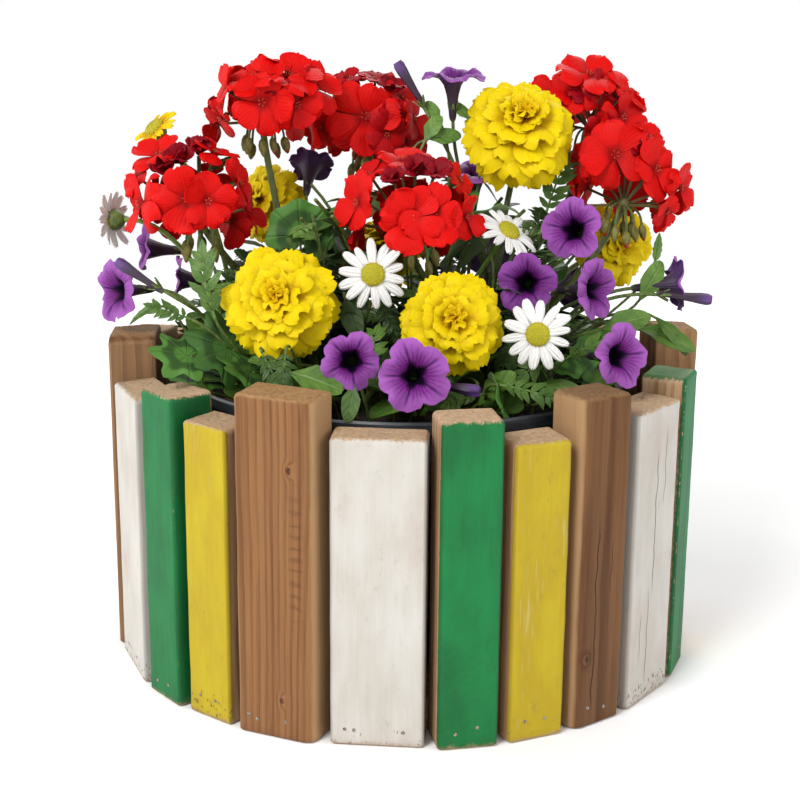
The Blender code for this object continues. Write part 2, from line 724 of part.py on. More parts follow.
def build_blooms(bed, plants, rng):
    """Makes every bloom and lists the stems that they need: plant, end, direction, radius."""
    wanted = []

    def seat(name, plant, shapes, finish_name, place, green, depth, radius):
        make(name, shapes, finish_name, place)
        for shape in shapes:
            bed.add(name, moved(shape, place))
        for shape in green:
            shape = moved(shape, place)
            plants[plant].append(shape)
            bed.add(plant, shape)
        out = place.to_3x3() @ Vector((0, 0, 1))
        wanted.append((plant, place @ Vector((0, 0, 0.6 - depth)), out, radius))

    for name, (plant, middle, turn, lift, radius) in PELARGONIUMS.items():
        green = [calyx(3.8, 6)]
        green += [hanging_bud(2 * math.pi * (k + rng.random() * 0.6) / BUDS, rng)
                  for k in range(BUDS)]
        seat(name, plant, umbel(radius, rng), "pelargonium red",
             bloom_place(middle, turn, lift, 0.6 * radius), green, 6, 1.8)
    for name, (plant, middle, turn, lift, radius) in MARIGOLDS.items():
        seat(name, plant, marigold(radius, rng), "marigold yellow",
             bloom_place(middle, turn, lift, 0.3 * radius), [calyx(5.6, 15)], 15, 1.7)
    for name, (plant, middle, turn, lift, radius) in DAISIES.items():
        place = bloom_place(middle, turn, lift, 3.0)
        yellow = plant == "daisy_plant_left" and name.endswith("5")
        seat(name, plant, daisy(radius, rng), "daisy yellow" if yellow else "daisy white",
             place, [calyx(5.6, 6)], 6, 1.3)
        if not yellow:
            make(name + "_centre", daisy_centre(), "daisy yellow", place)
            bed.add(name + "_centre", moved(daisy_centre()[0], place))
    for plant, flowers in PETUNIAS.items():
        for middle, turn, lift, radius in flowers:
            place = bloom_place(middle, turn, lift, PETUNIA_DEPTH)
            shape = moved(trumpet(radius) if radius else closed_flower(PETUNIA_DEPTH), place)
            plants[plant].append(shape)
            bed.add(plant, shape)
            out = place.to_3x3() @ Vector((0, 0, 1))
            wanted.append((plant, place @ Vector((0, 0, 0.8)), out, 1.1))
    return wanted


def add_shown_leaf(bed, plants, paths, plant, kind, base, turn, lift, length, rng, tries=60):
    """Large leaf at a chosen place, shifted a little at a time until it is clear."""
    for attempt in range(tries):
        shift = Vector((rng.uniform(-1, 1), rng.uniform(-1, 1), rng.uniform(-1, 1)))
        start = Vector(base) + shift * 14 * attempt / tries
        swing = 40 * attempt / tries
        place = leaf_place(start, turn + rng.uniform(-swing, swing),
                           lift + rng.uniform(-swing, swing) / 2)
        blade = moved(leaf(kind, length, STALK), place)
        if not bed.is_clear(plant, blade) or not bed.is_clear("", spared(blade)):
            continue
        along = place.to_3x3() @ Vector((1, 0, 0))
        end = place @ Vector((1 - STALK, 0, 0))
        if grow_stem(bed, plants, paths, plant, end, along, 1.0, rng, 30):
            plants[plant].append(blade)
            bed.add(plant + " leaves", blade)
            return
    raise ValueError(f"no room for a leaf of {plant} at {base}")


def add_side_leaf(bed, plants, paths, plant, kind, rng, tries=120):
    """Leaf on a short stalk from one of a plant's stems."""
    for _ in range(tries):
        path = rng.choice(paths[plant])
        i = rng.randrange(1, len(path) - 1)
        point = path[i].lerp(path[i + 1], rng.random())
        outward = math.degrees(math.atan2(point.x, -point.y))
        turn, lift = outward + rng.uniform(-80, 80), rng.uniform(-20, 40)
        length = rng.uniform(*LEAF_SIZES[kind])
        stalk = rng.uniform(0.12, 0.35) * length
        place = leaf_place(point + facing(turn, lift) * stalk, turn, lift, rng.uniform(-0.4, 0.4))
        blade = moved(leaf(kind, length, stalk), place)
        if bed.is_clear(plant, blade) and bed.is_clear("", spared(blade)):
            plants[plant].append(blade)
            bed.add(plant + " leaves", blade)
            return
    raise ValueError(f"no room for a side leaf of {plant}")


def build_plants(bed, rng):
    plants = {name: [] for name in CROWNS}
    start_crowns(plants)
    for plant, shapes in plants.items():
        bed.add(plant, shapes[0])
    paths = {name: [] for name in CROWNS}
    for plant, end, out, radius in build_blooms(bed, plants, rng):
        if not grow_stem(bed, plants, paths, plant, end, out, radius, rng):
            raise ValueError(f"no clear route for a stem of {plant} to {tuple(end)}")
    for plant, leaves in SHOWN_LEAVES.items():
        for kind, base, turn, lift, length in leaves:
            add_shown_leaf(bed, plants, paths, plant, kind, base, turn, lift, length, rng)
    for plant, (kind, count) in LEAF_COUNTS.items():
        for _ in range(count):
            add_side_leaf(bed, plants, paths, plant, kind, rng)
    for plant, shapes in plants.items():
        x, y, _ = CROWNS[plant]
        place = Matrix.Translation((x, y, SOIL_TOP))
        shapes = [moved(shape, place.inverted()) for shape in shapes]
        colour = "petunia purple" if plant in PETUNIAS else "leaf green"
        make(plant, shapes, colour, place)


def main():
    for old in list(bpy.data.objects):
        bpy.data.objects.remove(old)
    rng = random.Random(SEED)
    bed = Bed()
    build_planter(bed, rng)
    build_plants(bed, rng)


main()
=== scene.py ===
import math
import random

import bpy
import numpy as np
from mathutils import Matrix, Vector


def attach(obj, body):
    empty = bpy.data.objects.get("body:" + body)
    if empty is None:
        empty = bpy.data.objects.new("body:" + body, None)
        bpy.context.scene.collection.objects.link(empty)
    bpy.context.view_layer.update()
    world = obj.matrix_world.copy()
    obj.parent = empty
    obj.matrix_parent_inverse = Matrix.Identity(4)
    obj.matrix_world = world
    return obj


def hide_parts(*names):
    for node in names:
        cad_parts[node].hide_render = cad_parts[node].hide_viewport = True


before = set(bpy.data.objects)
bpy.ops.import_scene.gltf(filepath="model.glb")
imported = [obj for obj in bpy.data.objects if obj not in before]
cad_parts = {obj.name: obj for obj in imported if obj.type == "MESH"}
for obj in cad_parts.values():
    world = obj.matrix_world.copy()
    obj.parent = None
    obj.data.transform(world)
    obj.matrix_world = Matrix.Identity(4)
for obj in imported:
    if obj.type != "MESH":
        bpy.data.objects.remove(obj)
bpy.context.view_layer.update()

# Slatted wooden planter with mixed summer flowers. Shapes are worked out in millimetres.
MM = 0.001
GOLDEN = 2.399963      # turn between neighbours in a spiral of seeds or leaves
FULL_WHITE = 0.63      # reflectance that shows as full white under this scene's light


# Materials: small networks of nodes, written as sums

class Value:
    """A number, colour or vector inside a material."""

    def __init__(self, net, socket):
        self.net, self.socket = net, socket

    def __add__(self, other):
        return self.net.math("ADD", self, other)

    def __sub__(self, other):
        return self.net.math("SUBTRACT", self, other)

    def __rsub__(self, other):
        return self.net.math("SUBTRACT", other, self)

    def __mul__(self, other):
        return self.net.math("MULTIPLY", self, other)

    def __truediv__(self, other):
        return self.net.math("DIVIDE", self, other)


class Net:
    """The nodes of a material or of the world. The colour is built up in coats."""

    def __init__(self, owner, shader="Principled BSDF"):
        owner.use_nodes = True
        self.owner, self.tree = owner, owner.node_tree
        self.shader = self.tree.nodes[shader]

    def join(self, value, socket):
        if isinstance(value, Value):
            self.tree.links.new(value.socket, socket)
        elif socket.type == "RGBA" and len(value) == 3:
            socket.default_value = (*value, 1.0)
        else:
            socket.default_value = value

    def set(self, name, value):
        self.join(value, self.shader.inputs[name])

    def node(self, kind, inputs, output=0, **settings):
        made = self.tree.nodes.new("ShaderNode" + kind)
        for key, value in settings.items():
            setattr(made, key, value)
        for key, value in inputs.items():
            self.join(value, made.inputs[key])
        return Value(self, made.outputs[output])

    def math(self, operation, *values):
        return self.node("Math", dict(enumerate(values)), operation=operation)

    def vector(self, operation, a, b):
        return self.node("VectorMath", {0: a, 1: b}, operation=operation)

    def step(self, value, low, high, out_low=0.0, out_high=1.0):
        """Eased step from out_low to out_high between two values."""
        return self.node("MapRange", {"Value": value, 1: low, 2: high, 3: out_low, 4: out_high},
                         interpolation_type="SMOOTHSTEP")

    def most(self, a, b):
        return self.math("MAXIMUM", a, b)

    def place(self):
        """Place on the object in millimetres."""
        return self.vector("MULTIPLY", self.node("TexCoord", {}, "Object"), (1 / MM,) * 3)

    def marks(self):
        """The three numbers kept at each point of a mesh."""
        return self.split(self.node("Attribute", {}, "Vector", attribute_name="marks"))

    def split(self, vector):
        return [self.node("SeparateXYZ", {0: vector}, i) for i in range(3)]

    def noise(self, place, scale, seed=0.0, detail=3.0, rough=0.55):
        """Noise from 0 to 1. Its scale is in waves per millimetre, one or one for each axis."""
        scale = scale if isinstance(scale, tuple) else (scale,) * 3
        moved = self.vector("ADD", self.vector("MULTIPLY", place, scale),
                            (seed * 7.1, seed * 3.7, seed * 5.3))
        return self.node("TexNoise", {"Vector": moved, "Scale": 1.0, "Detail": detail,
                                      "Roughness": rough})

    def mix(self, share, a, b):
        return self.node("Mix", {0: share, 6: a, 7: b}, 2, data_type="RGBA")

    def start(self, share, low, high):
        """First coat, from one screen colour to another."""
        self.colour = self.mix(share, linear(*low), linear(*high))

    def coat(self, share, *shade):
        """Lays a screen colour over the coats so far."""
        self.colour = self.mix(share, self.colour, linear(*shade))

    def finish(self, height, depth):
        """Sets the colour and a relief: a height from 0 to 1 times a depth in millimetres."""
        self.set("Base Color", self.colour)
        self.set("Normal", self.node("Bump", {"Height": height, "Distance": depth * MM,
                                              "Strength": 1.0}))
        return self.owner


def surface(name, roughness, gloss=None, soft=None):
    """A new material without its colour. soft is the share of light that thin petals let
    through."""
    net = Net(bpy.data.materials.new(name))
    net.set("Roughness", roughness)
    if gloss is not None:
        net.set("Specular IOR Level", gloss)
    if soft is not None:
        net.set("Subsurface Weight", soft)
        net.set("Subsurface Scale", 0.9 * MM)
        net.set("Subsurface Radius", (1.0, 1.0, 1.0))
    return net


def linear(red, green, blue):
    """Reflectance that shows as a screen colour from 0 to 255 under this scene's light."""
    return tuple(FULL_WHITE * (((c / 255 + 0.055) / 1.055) ** 2.4 if c > 10
                               else c / 255 / 12.92) for c in (red, green, blue))


def wood(net, place, seed, pale, dark, spacing=6.0, knots=(), pith=(0.0, 45.0), sway=26.0,
         ring=0.45):
    """Colour and relief of sawn softwood, with growth rings round a line beside the board.
    Knots are (across, height, size)."""
    x, y, z = net.split(place)
    wobble = net.noise(place, (0.022, 0.022, 0.0045), seed, 2.0) * sway
    fibre = net.noise(place, (0.9, 0.9, 0.022), seed + 3, 5.0, 0.65)
    streak = net.noise(place, (0.16, 0.16, 0.004), seed + 5, 3.0)
    across, deep = x - pith[0], y - pith[1]
    far = net.math("SQRT", across * across + deep * deep) + wobble
    knot_mask = None
    for knot_x, knot_z, size in knots:
        side, rise = x - knot_x, (z - knot_z) * 0.75
        near = net.math("SQRT", side * side + rise * rise)
        near = near + (net.noise(place, 0.3, seed + 9) - 0.5) * size
        far = far + net.step(near, 3.2 * size, 0.0) * (2.4 * size)
        inside = net.step(near, size, 0.55 * size)
        knot_mask = inside if knot_mask is None else net.most(knot_mask, inside)
    band = net.math("FRACT", far / spacing)
    late = net.step(band, 0.35, 0.88) * net.step(band, 1.0, 0.93)
    tone = late * ring + (fibre - 0.5) * 0.9 + (streak - 0.5) * 1.1 + 0.25
    colour = net.mix(net.step(tone, -0.1, 1.0), pale, dark)
    height = fibre * 0.7 - late * 0.35
    if knot_mask:
        darker = tuple(0.32 * c for c in dark)
        rings = net.step(net.math("FRACT", far / 2.1), 0.2, 0.9)
        colour = net.mix(knot_mask * (rings * 0.35 + 0.6), colour, darker)
    return colour, height


# Meshes

class Skin:
    """Gathers closed blades and tubes into one mesh. Each point keeps three marks: how far along
    its blade it lies, how far across, and the blade's tone, which on leaves and red florets also
    carries painted shade."""

    def __init__(self):
        self.points, self.faces, self.marks, self.slots, self.count = [], [], [], [], 0

    def put(self, points, faces, marks, slots):
        """slots is one material number for all faces, or one for each."""
        self.points.append(points)
        self.marks.append(marks)
        self.faces.extend([[i + self.count for i in face] for face in faces])
        self.slots.extend(slots if isinstance(slots, list) else [slots] * len(faces))
        self.count += len(points)

    def blade(self, grid, slot, under=None, thick=0.4, tone=0.5, wrap=False, across=None):
        """Thin closed blade round a grid of points, rows along it and columns across it."""
        rows, columns = grid.shape[:2]
        if wrap:
            wide = np.concatenate([grid[:, -1:], grid, grid[:, :1]], axis=1)
            span = np.gradient(wide, axis=1)[:, 1:-1]
        else:
            span = np.gradient(grid, axis=1)
        normal = np.cross(np.gradient(grid, axis=0), span)
        size = np.linalg.norm(normal, axis=2, keepdims=True)
        normal = normal / np.maximum(size, 1e-9)
        half = normal * (thick / 2)
        upper, lower = (grid + half).reshape(-1, 3), (grid - half).reshape(-1, 3)
        faces, sides = blade_faces(rows, columns, wrap)
        along = np.repeat(np.linspace(0, 1, rows), columns)
        if across is None:
            across = np.linspace(-1, 1, columns)
        marks = np.stack([along, np.tile(across, rows), np.full(rows * columns, tone)], axis=1)
        under = slot if under is None else under
        slots = [slot if side else under for side in sides]
        self.put(np.concatenate([upper, lower]), faces, np.concatenate([marks, marks]), slots)

    def solid(self, rings, slot, tone=0.5):
        """Closed skin through a list of rings with equal counts of points."""
        rings = np.asarray(rings, float)
        count, sides = rings.shape[:2]
        faces = [[i * sides + k, i * sides + (k + 1) % sides,
                  (i + 1) * sides + (k + 1) % sides, (i + 1) * sides + k]
                 for i in range(count - 1) for k in range(sides)]
        faces.append(list(range(sides))[::-1])
        faces.append(list(range((count - 1) * sides, count * sides)))
        along = np.repeat(np.linspace(0, 1, count), sides)
        around = np.tile(np.linspace(0, 1, sides, endpoint=False), count)
        marks = np.stack([along, around, np.full(count * sides, tone)], axis=1)
        self.put(rings.reshape(-1, 3), faces, marks, slot)

    def tube(self, path, radii, slot, sides=8, tone=0.5):
        """Round stem along a path; radii is one number or one for each point."""
        path = np.asarray(path, float)
        radii = np.broadcast_to(np.asarray(radii, float), len(path))
        along = np.gradient(path, axis=0)
        along /= np.linalg.norm(along, axis=1, keepdims=True)
        side = np.cross(along[0], (0.3, 0.2, 1.0) if abs(along[0][2]) < 0.9 else (1.0, 0.1, 0.0))
        rings = []
        turn = np.linspace(0, 2 * math.pi, sides, endpoint=False)
        for point, way, radius in zip(path, along, radii):
            side = side - way * np.dot(side, way)
            side /= np.linalg.norm(side)
            other = np.cross(way, side)
            rings.append(point + radius * (np.outer(np.cos(turn), side)
                                           + np.outer(np.sin(turn), other)))
        self.solid(rings, slot, tone)

    def build(self, name, materials, replaced, slot, sharp=38.0, place=None):
        """Makes the piece. replaced is the CAD node that it stands for, if any."""
        mesh = bpy.data.meshes.new(name)
        mesh.from_pydata((np.concatenate(self.points) * MM).tolist(), [], self.faces)
        marks = mesh.attributes.new("marks", "FLOAT_VECTOR", "POINT")
        marks.data.foreach_set("vector", np.concatenate(self.marks).astype(np.float32).ravel())
        for material in materials:
            mesh.materials.append(material)
        mesh.polygons.foreach_set("material_index", self.slots)
        mesh.polygons.foreach_set("use_smooth", [True] * len(mesh.polygons))
        mesh.set_sharp_from_angle(angle=math.radians(sharp))
        piece = add_object(name, mesh, place)
        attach(piece, "root")
        if replaced:
            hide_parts(replaced)


def add_object(name, data, place=None):
    thing = bpy.data.objects.new(name, data)
    if place is not None:
        thing.matrix_world = place
    bpy.context.scene.collection.objects.link(thing)
    return thing


FACE_CACHE = {}


def blade_faces(rows, columns, wrap):
    """Faces of a closed blade, and whether each is on its upper side."""
    key = (rows, columns, wrap)
    if key not in FACE_CACHE:
        last = columns if wrap else columns - 1
        count, faces, sides = rows * columns, [], []
        for i in range(rows - 1):
            for k in range(last):
                j = (k + 1) % columns
                a, b = i * columns + k, i * columns + j
                c, d = b + columns, a + columns
                faces += [[a, d, c, b], [a + count, b + count, c + count, d + count]]
                sides += [True, False]
        rim = []
        if wrap:
            for k in range(columns):
                j = (k + 1) % columns
                rim += [(k, j), ((rows - 1) * columns + j, (rows - 1) * columns + k)]
        else:
            rim += [(k, k + 1) for k in range(columns - 1)]
            rim += [(i * columns + columns - 1, (i + 1) * columns + columns - 1)
                    for i in range(rows - 1)]
            rim += [(count - 1 - k, count - 2 - k) for k in range(columns - 1)]
            rim += [((i + 1) * columns, i * columns) for i in range(rows - 1)]
        for a, b in rim:
            faces.append([a, b, b + count, a + count])
            sides.append(True)
        FACE_CACHE[key] = (faces, sides)
    return FACE_CACHE[key]


def lathe(profile, sides, turning=np.eye(3), middle=0.0):
    """Rings of a round shape from the radius and height of each."""
    turn = np.linspace(0, 2 * math.pi, sides, endpoint=False)
    rings = [[(r * math.cos(a), r * math.sin(a), z) for a in turn] for r, z in profile]
    return np.array(rings) @ turning.T + middle


def eased(values, low, high):
    t = np.clip((np.asarray(values, float) - low) / (high - low), 0, 1)
    return t * t * (3 - 2 * t)


def unit(vector):
    vector = np.asarray(vector, float)
    return vector / np.linalg.norm(vector)


def facing(turn, lift):
    """Direction from the planter's middle: turn 0 is the front, lift 90 is straight up."""
    turn, lift = math.radians(turn), math.radians(lift)
    return np.array([math.sin(turn) * math.cos(lift), -math.cos(turn) * math.cos(lift),
                     math.sin(lift)])


def axes(face, spin=0.0):
    """Turning matrix whose third column is the given direction, its second one near upright."""
    z = unit(face)
    x = np.cross((0.0, 0.0, 1.0), z)
    x = unit(x) if np.linalg.norm(x) > 1e-3 else np.array([1.0, 0.0, 0.0])
    y = np.cross(z, x)
    c, s = math.cos(spin), math.sin(spin)
    return np.column_stack([c * x + s * y, c * y - s * x, z])


def curve(start, leave, arrive, end, count=12):
    """Points on a smooth line that leaves and arrives along two pulls."""
    start, end = np.asarray(start, float), np.asarray(end, float)
    t = np.linspace(0, 1, count)[:, None]
    return (start * (1 - t) ** 3 + 3 * (start + leave) * t * (1 - t) ** 2
            + 3 * (end - arrive) * t * t * (1 - t) + end * t ** 3)


def rotated(angle, axis):
    return np.array(Matrix.Rotation(angle, 3, axis))


# Planter slats: paint, and what is particular to each board

BARE, DARK = linear(172, 122, 78), linear(118, 74, 42)
PAINTS = {"white": (linear(233, 229, 221), linear(212, 204, 192)),
          "green": (linear(2, 138, 68), linear(0, 104, 48)),
          "yellow": (linear(214, 190, 20), linear(192, 160, 12))}
EMPTY = dict(knots=(), cracks=(), corner=(2.6, 2.6), tone=1.0, sides=(0, 0), saw=0, wane=(0, 0),
             pale_and_lit_side=(0, 0), sway=20.0, top=0, specks=0, ring=0.45, spacing=6.0, chip=1.0, worn=0,
             strokes=0)
BOARDS = {
    1: dict(tone=0.78, corner=(9, 9), knots=((14, 168, 2.0), (-6, 150, 3.4))),
    2: dict(sides=(1, 1), specks=1),
    3: dict(sides=(1, 1), chip=1.4),
    4: dict(sides=(1, 0), worn=1, specks=1),
    5: dict(tone=0.96, saw=1, knots=((4, 22, 1.6), (9, 150, 1.8)), wane=(0, 4), spacing=3.6,
            pith=(-60.0, 9.0), pale_and_lit_side=(0, 1), sway=8.0, ring=0.3),
    6: dict(sides=(1, 1)),
    7: dict(strokes=1),
    8: dict(worn=1),
    9: dict(tone=0.62, cracks=((-4, 6, 120, 1.0), (7, 70, 110, 0.6)), knots=((-9, 40, 2.0),),
            wane=(4, 0), spacing=7.5, pale_and_lit_side=(1, 0), sway=14.0),
    10: dict(sides=(1, 1), specks=1, cracks=((0, 60, 150, 1.0), (9, 110, 160, 0.7),
                                             (-12, 20, 60, 0.6), (-4, 6, 70, 0.8))),
    11: dict(sides=(0, 1), cracks=((3, 0, 150, 1.2),), chip=1.8, top=1),
    13: dict(tone=1.03, corner=(3, 14), knots=((-4, 120, 2.2),)),
}
NAILS = {5: (-16, -11, 6), 6: (-17, -12, 14)}     # places across, where not the usual two
NAIL_RISE = 10.0


def board_shape(node):
    """Middle turn, half width, thickness and top plane of a slat, read from its CAD node."""
    points = np.unique(np.round([tuple(v.co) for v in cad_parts[node].data.vertices], 6),
                       axis=0) * 1000
    middle = points[:, :2].mean(axis=0)
    turn = math.atan2(middle[0], -middle[1])
    local = points @ np.array(Matrix.Rotation(turn, 3, "Z"))
    inner = local[:, 1].max()
    local[:, 1] -= inner
    half, thick = np.abs(local[:, 0]).max(), -local[:, 1].min()
    top = local[(local[:, 2] > 0.5 * local[:, 2].max()) & (np.abs(local[:, 0]) < half - 0.3)]
    plane = np.column_stack([np.ones(len(top)), top[:, 0], top[:, 1]])
    rise, slope_x, slope_y = np.linalg.lstsq(plane, top[:, 2], rcond=None)[0]
    return turn, inner, half, thick, (rise, slope_x, slope_y)


def board_outline(half, thick, left, right):
    """Outline of a board at one level, counter-clockwise from above. Its outer corners are
    rounded to the radii left and right."""
    corners = (((-half, -thick), left, math.pi), ((half, -thick), right, 1.5 * math.pi),
               ((half, 0), 1.2, 0.0), ((-half, 0), 1.2, 0.5 * math.pi))
    counts = (14, 6, 5, 6)
    arcs = []
    for (x, y), radius, start in corners:
        middle = (x - math.copysign(radius, x), y + radius if y < 0 else y - radius)
        arcs.append([(middle[0] + radius * math.cos(start + a),
                      middle[1] + radius * math.sin(start + a))
                     for a in np.linspace(0, math.pi / 2, 5)])
    outline = []
    for arc, after, count in zip(arcs, arcs[1:] + arcs[:1], counts):
        outline += arc
        a, b = np.array(arc[-1]), np.array(after[0])
        outline += [tuple(a + (b - a) * k / count) for k in range(1, count)]
    return np.array(outline)


def waves(rng, count, length):
    """Sum of a few slow waves, as a function of height."""
    parts = [(rng.uniform(-1, 1), rng.uniform(0.4, 1.6) * 2 * math.pi / length,
              rng.uniform(0, 6.3)) for _ in range(count)]
    return lambda z: sum(a * math.sin(f * z + p) for a, f, p in parts) / count


def make_board(number, node, paint):
    look = {**EMPTY, **BOARDS.get(number, {})}
    rng = random.Random(100 + number)
    turn, inner, half, thick, (rise, slope_x, slope_y) = board_shape(node)
    left, right, bow = waves(rng, 3, 60), waves(rng, 3, 60), waves(rng, 3, 140)
    dent, _ = waves(rng, 4, 22), waves(rng, 4, 22)      # the second only draws
    levels, wear, corners = 40, 0.6, [1.5 + wane for wane in look["wane"]]
    rings, low_round, top_round = [], 1.2, 1.5 + 0.6 * rng.random()
    steps = [(0.0, low_round), (0.35 * low_round, 0.45 * low_round), (low_round, 0.0)]
    steps += [(low_round + k / levels * (rise - low_round - top_round), 0.0)
              for k in range(1, levels)]
    for level, inset in steps:
        outline = board_outline(half, thick, corners[0] + wear * (1 + left(level)),
                                corners[1] + wear * (1 + right(level)))
        if inset:
            outline *= 1 - inset / np.array([half, thick / 2])
            outline[:, 1] -= inset
        outline = outline * (1 - 0.004 * (1 + dent(level))) + [0, -0.25 * bow(level)]
        rings.append(np.column_stack([outline, np.full(len(outline), level)]))
    base = board_outline(half, thick, corners[0] + wear, corners[1] + wear)
    middle = np.array([0, -thick / 2])
    top_rings = []
    for angle in (0.0, 0.3, 0.6, 0.85, 1.0):
        inset = top_round * (1 - math.cos(angle * math.pi / 2))
        drop = top_round * (1 - math.sin(angle * math.pi / 2))
        share = 1 - inset / np.array([half, thick / 2])
        top_rings.append((middle + (base - middle) * share, drop))
    for share in (0.82, 0.6, 0.38, 0.16):
        top_rings.append((middle + (base - middle) * share * 0.97, 0.0))
    rough = random.Random(900 + number)
    for outline, drop in top_rings:
        x, y = outline[:, 0], outline[:, 1]
        z = rise + slope_x * x + slope_y * y - drop
        for side, size in zip((-1, 1), look["corner"]):
            past = np.maximum(side * x - (half - size), 0)
            z = z - 0.42 * past ** 1.5 / max(size, 1) ** 0.5
        z = z + np.array([rough.uniform(-0.18, 0.18) for _ in z])
        rings.append(np.column_stack([x, y, z]))
    skin = Skin()
    skin.solid(rings, 0)
    if paint == "bare":
        slot, finish = "bare_wood", bare_finish(look, number, half, thick, rise)
    else:
        slot = paint + "_painted_wood"
        finish = painted_finish(look, number, half, thick, rise, paint)
    skin.build(node.replace("slat", "board"), [finish], node, slot, 50.0,
               Matrix.Rotation(turn, 4, "Z") @ Matrix.Translation((0, inner * MM, 0)))
    return turn, inner, half, thick


def crack(net, place, cracks, thick, seed, height, *shade):
    """Lays dark splits over the outer face and cuts them into its relief. Cracks are (across,
    from height, to height, half width)."""
    if not cracks:
        return height
    x, y, z = net.split(place)
    mask = None
    wander = (net.noise(place, (0.0, 0.0, 0.045), seed) - 0.5) * 7.0
    for across, low, high, wide in cracks:
        away = net.math("ABSOLUTE", x - across + wander)
        ends = net.step(z, low, low + 14) * net.step(z, high, high - 14)
        line = net.step(away, 0.42 * wide, 0.12 * wide) * ends * net.step(y, 3 - thick, 1 - thick)
        mask = line if mask is None else net.most(mask, line)
    net.coat(mask * 0.85, *shade)
    return height - mask * 2.0


def bare_finish(look, seed, half, thick, rise):
    net = surface(f"board_{seed:02d}_finish", 0.7, 0.2)
    place = net.place()
    x, y, z = net.split(place)
    pale, dark, top_pale, top_dark = (
        tuple(c * look["tone"] for c in shade)
        for shade in (BARE, DARK, linear(206, 166, 114), linear(160, 118, 76)))
    net.colour, height = wood(net, place, seed, pale, dark, look["spacing"],
                              look["knots"], look.get("pith", (seed % 5 * 9.0 - 18, 40.0)),
                              look["sway"], look["ring"])
    # Lighter wood on a side (the pale wane edge of board 5, and on board 9 a painted highlight on
    # the side that faces the light), on the corners and on the sawn top
    blur = (net.noise(place, (0.12, 0.12, 0.02), seed + 20) - 0.5) * 2.0
    for side, bright in zip((-1, 1), look["pale_and_lit_side"]):
        if bright:
            net.coat(net.step(x * side + blur, half - 2.6, half - 0.8) * 0.72, 196, 154, 108)
    corner = net.step(net.math("ABSOLUTE", x) + blur, half - 2.4, half - 0.4)
    net.coat(corner * 0.2, 218, 182, 138)
    speck = net.noise(place, 0.5, seed + 30, 4.0, 0.7)
    net.colour = net.mix(net.step(z + blur * 0.5, rise - 3.2, rise - 1.2) * 0.8, net.colour,
                         net.mix(net.step(speck, 0.3, 0.7), top_pale, top_dark))
    if look["saw"]:
        bars = net.math("SINE", z * 0.95 + net.noise(place, (0.05, 0.05, 0.1), seed + 40) * 9.0)
        band = net.step(x, 8.0, 11.0) * net.step(x, 18.0, 14.5) * net.step(z, 62, 76)
        net.coat(net.step(bars, 0.35, 0.9) * band * net.step(z, 150, 120) * 0.4, 104, 66, 42)
    grime = net.noise(place, (0.03, 0.03, 0.012), seed + 50)
    net.coat(net.step(grime, 0.5, 0.8) * 0.4, 112, 76, 50)
    height = crack(net, place, look["cracks"], thick, seed, height, 40, 24, 14)
    net.set("Roughness", net.step(grime, 0.2, 0.8, 0.78, 0.62))
    return net.finish(height, 0.35)


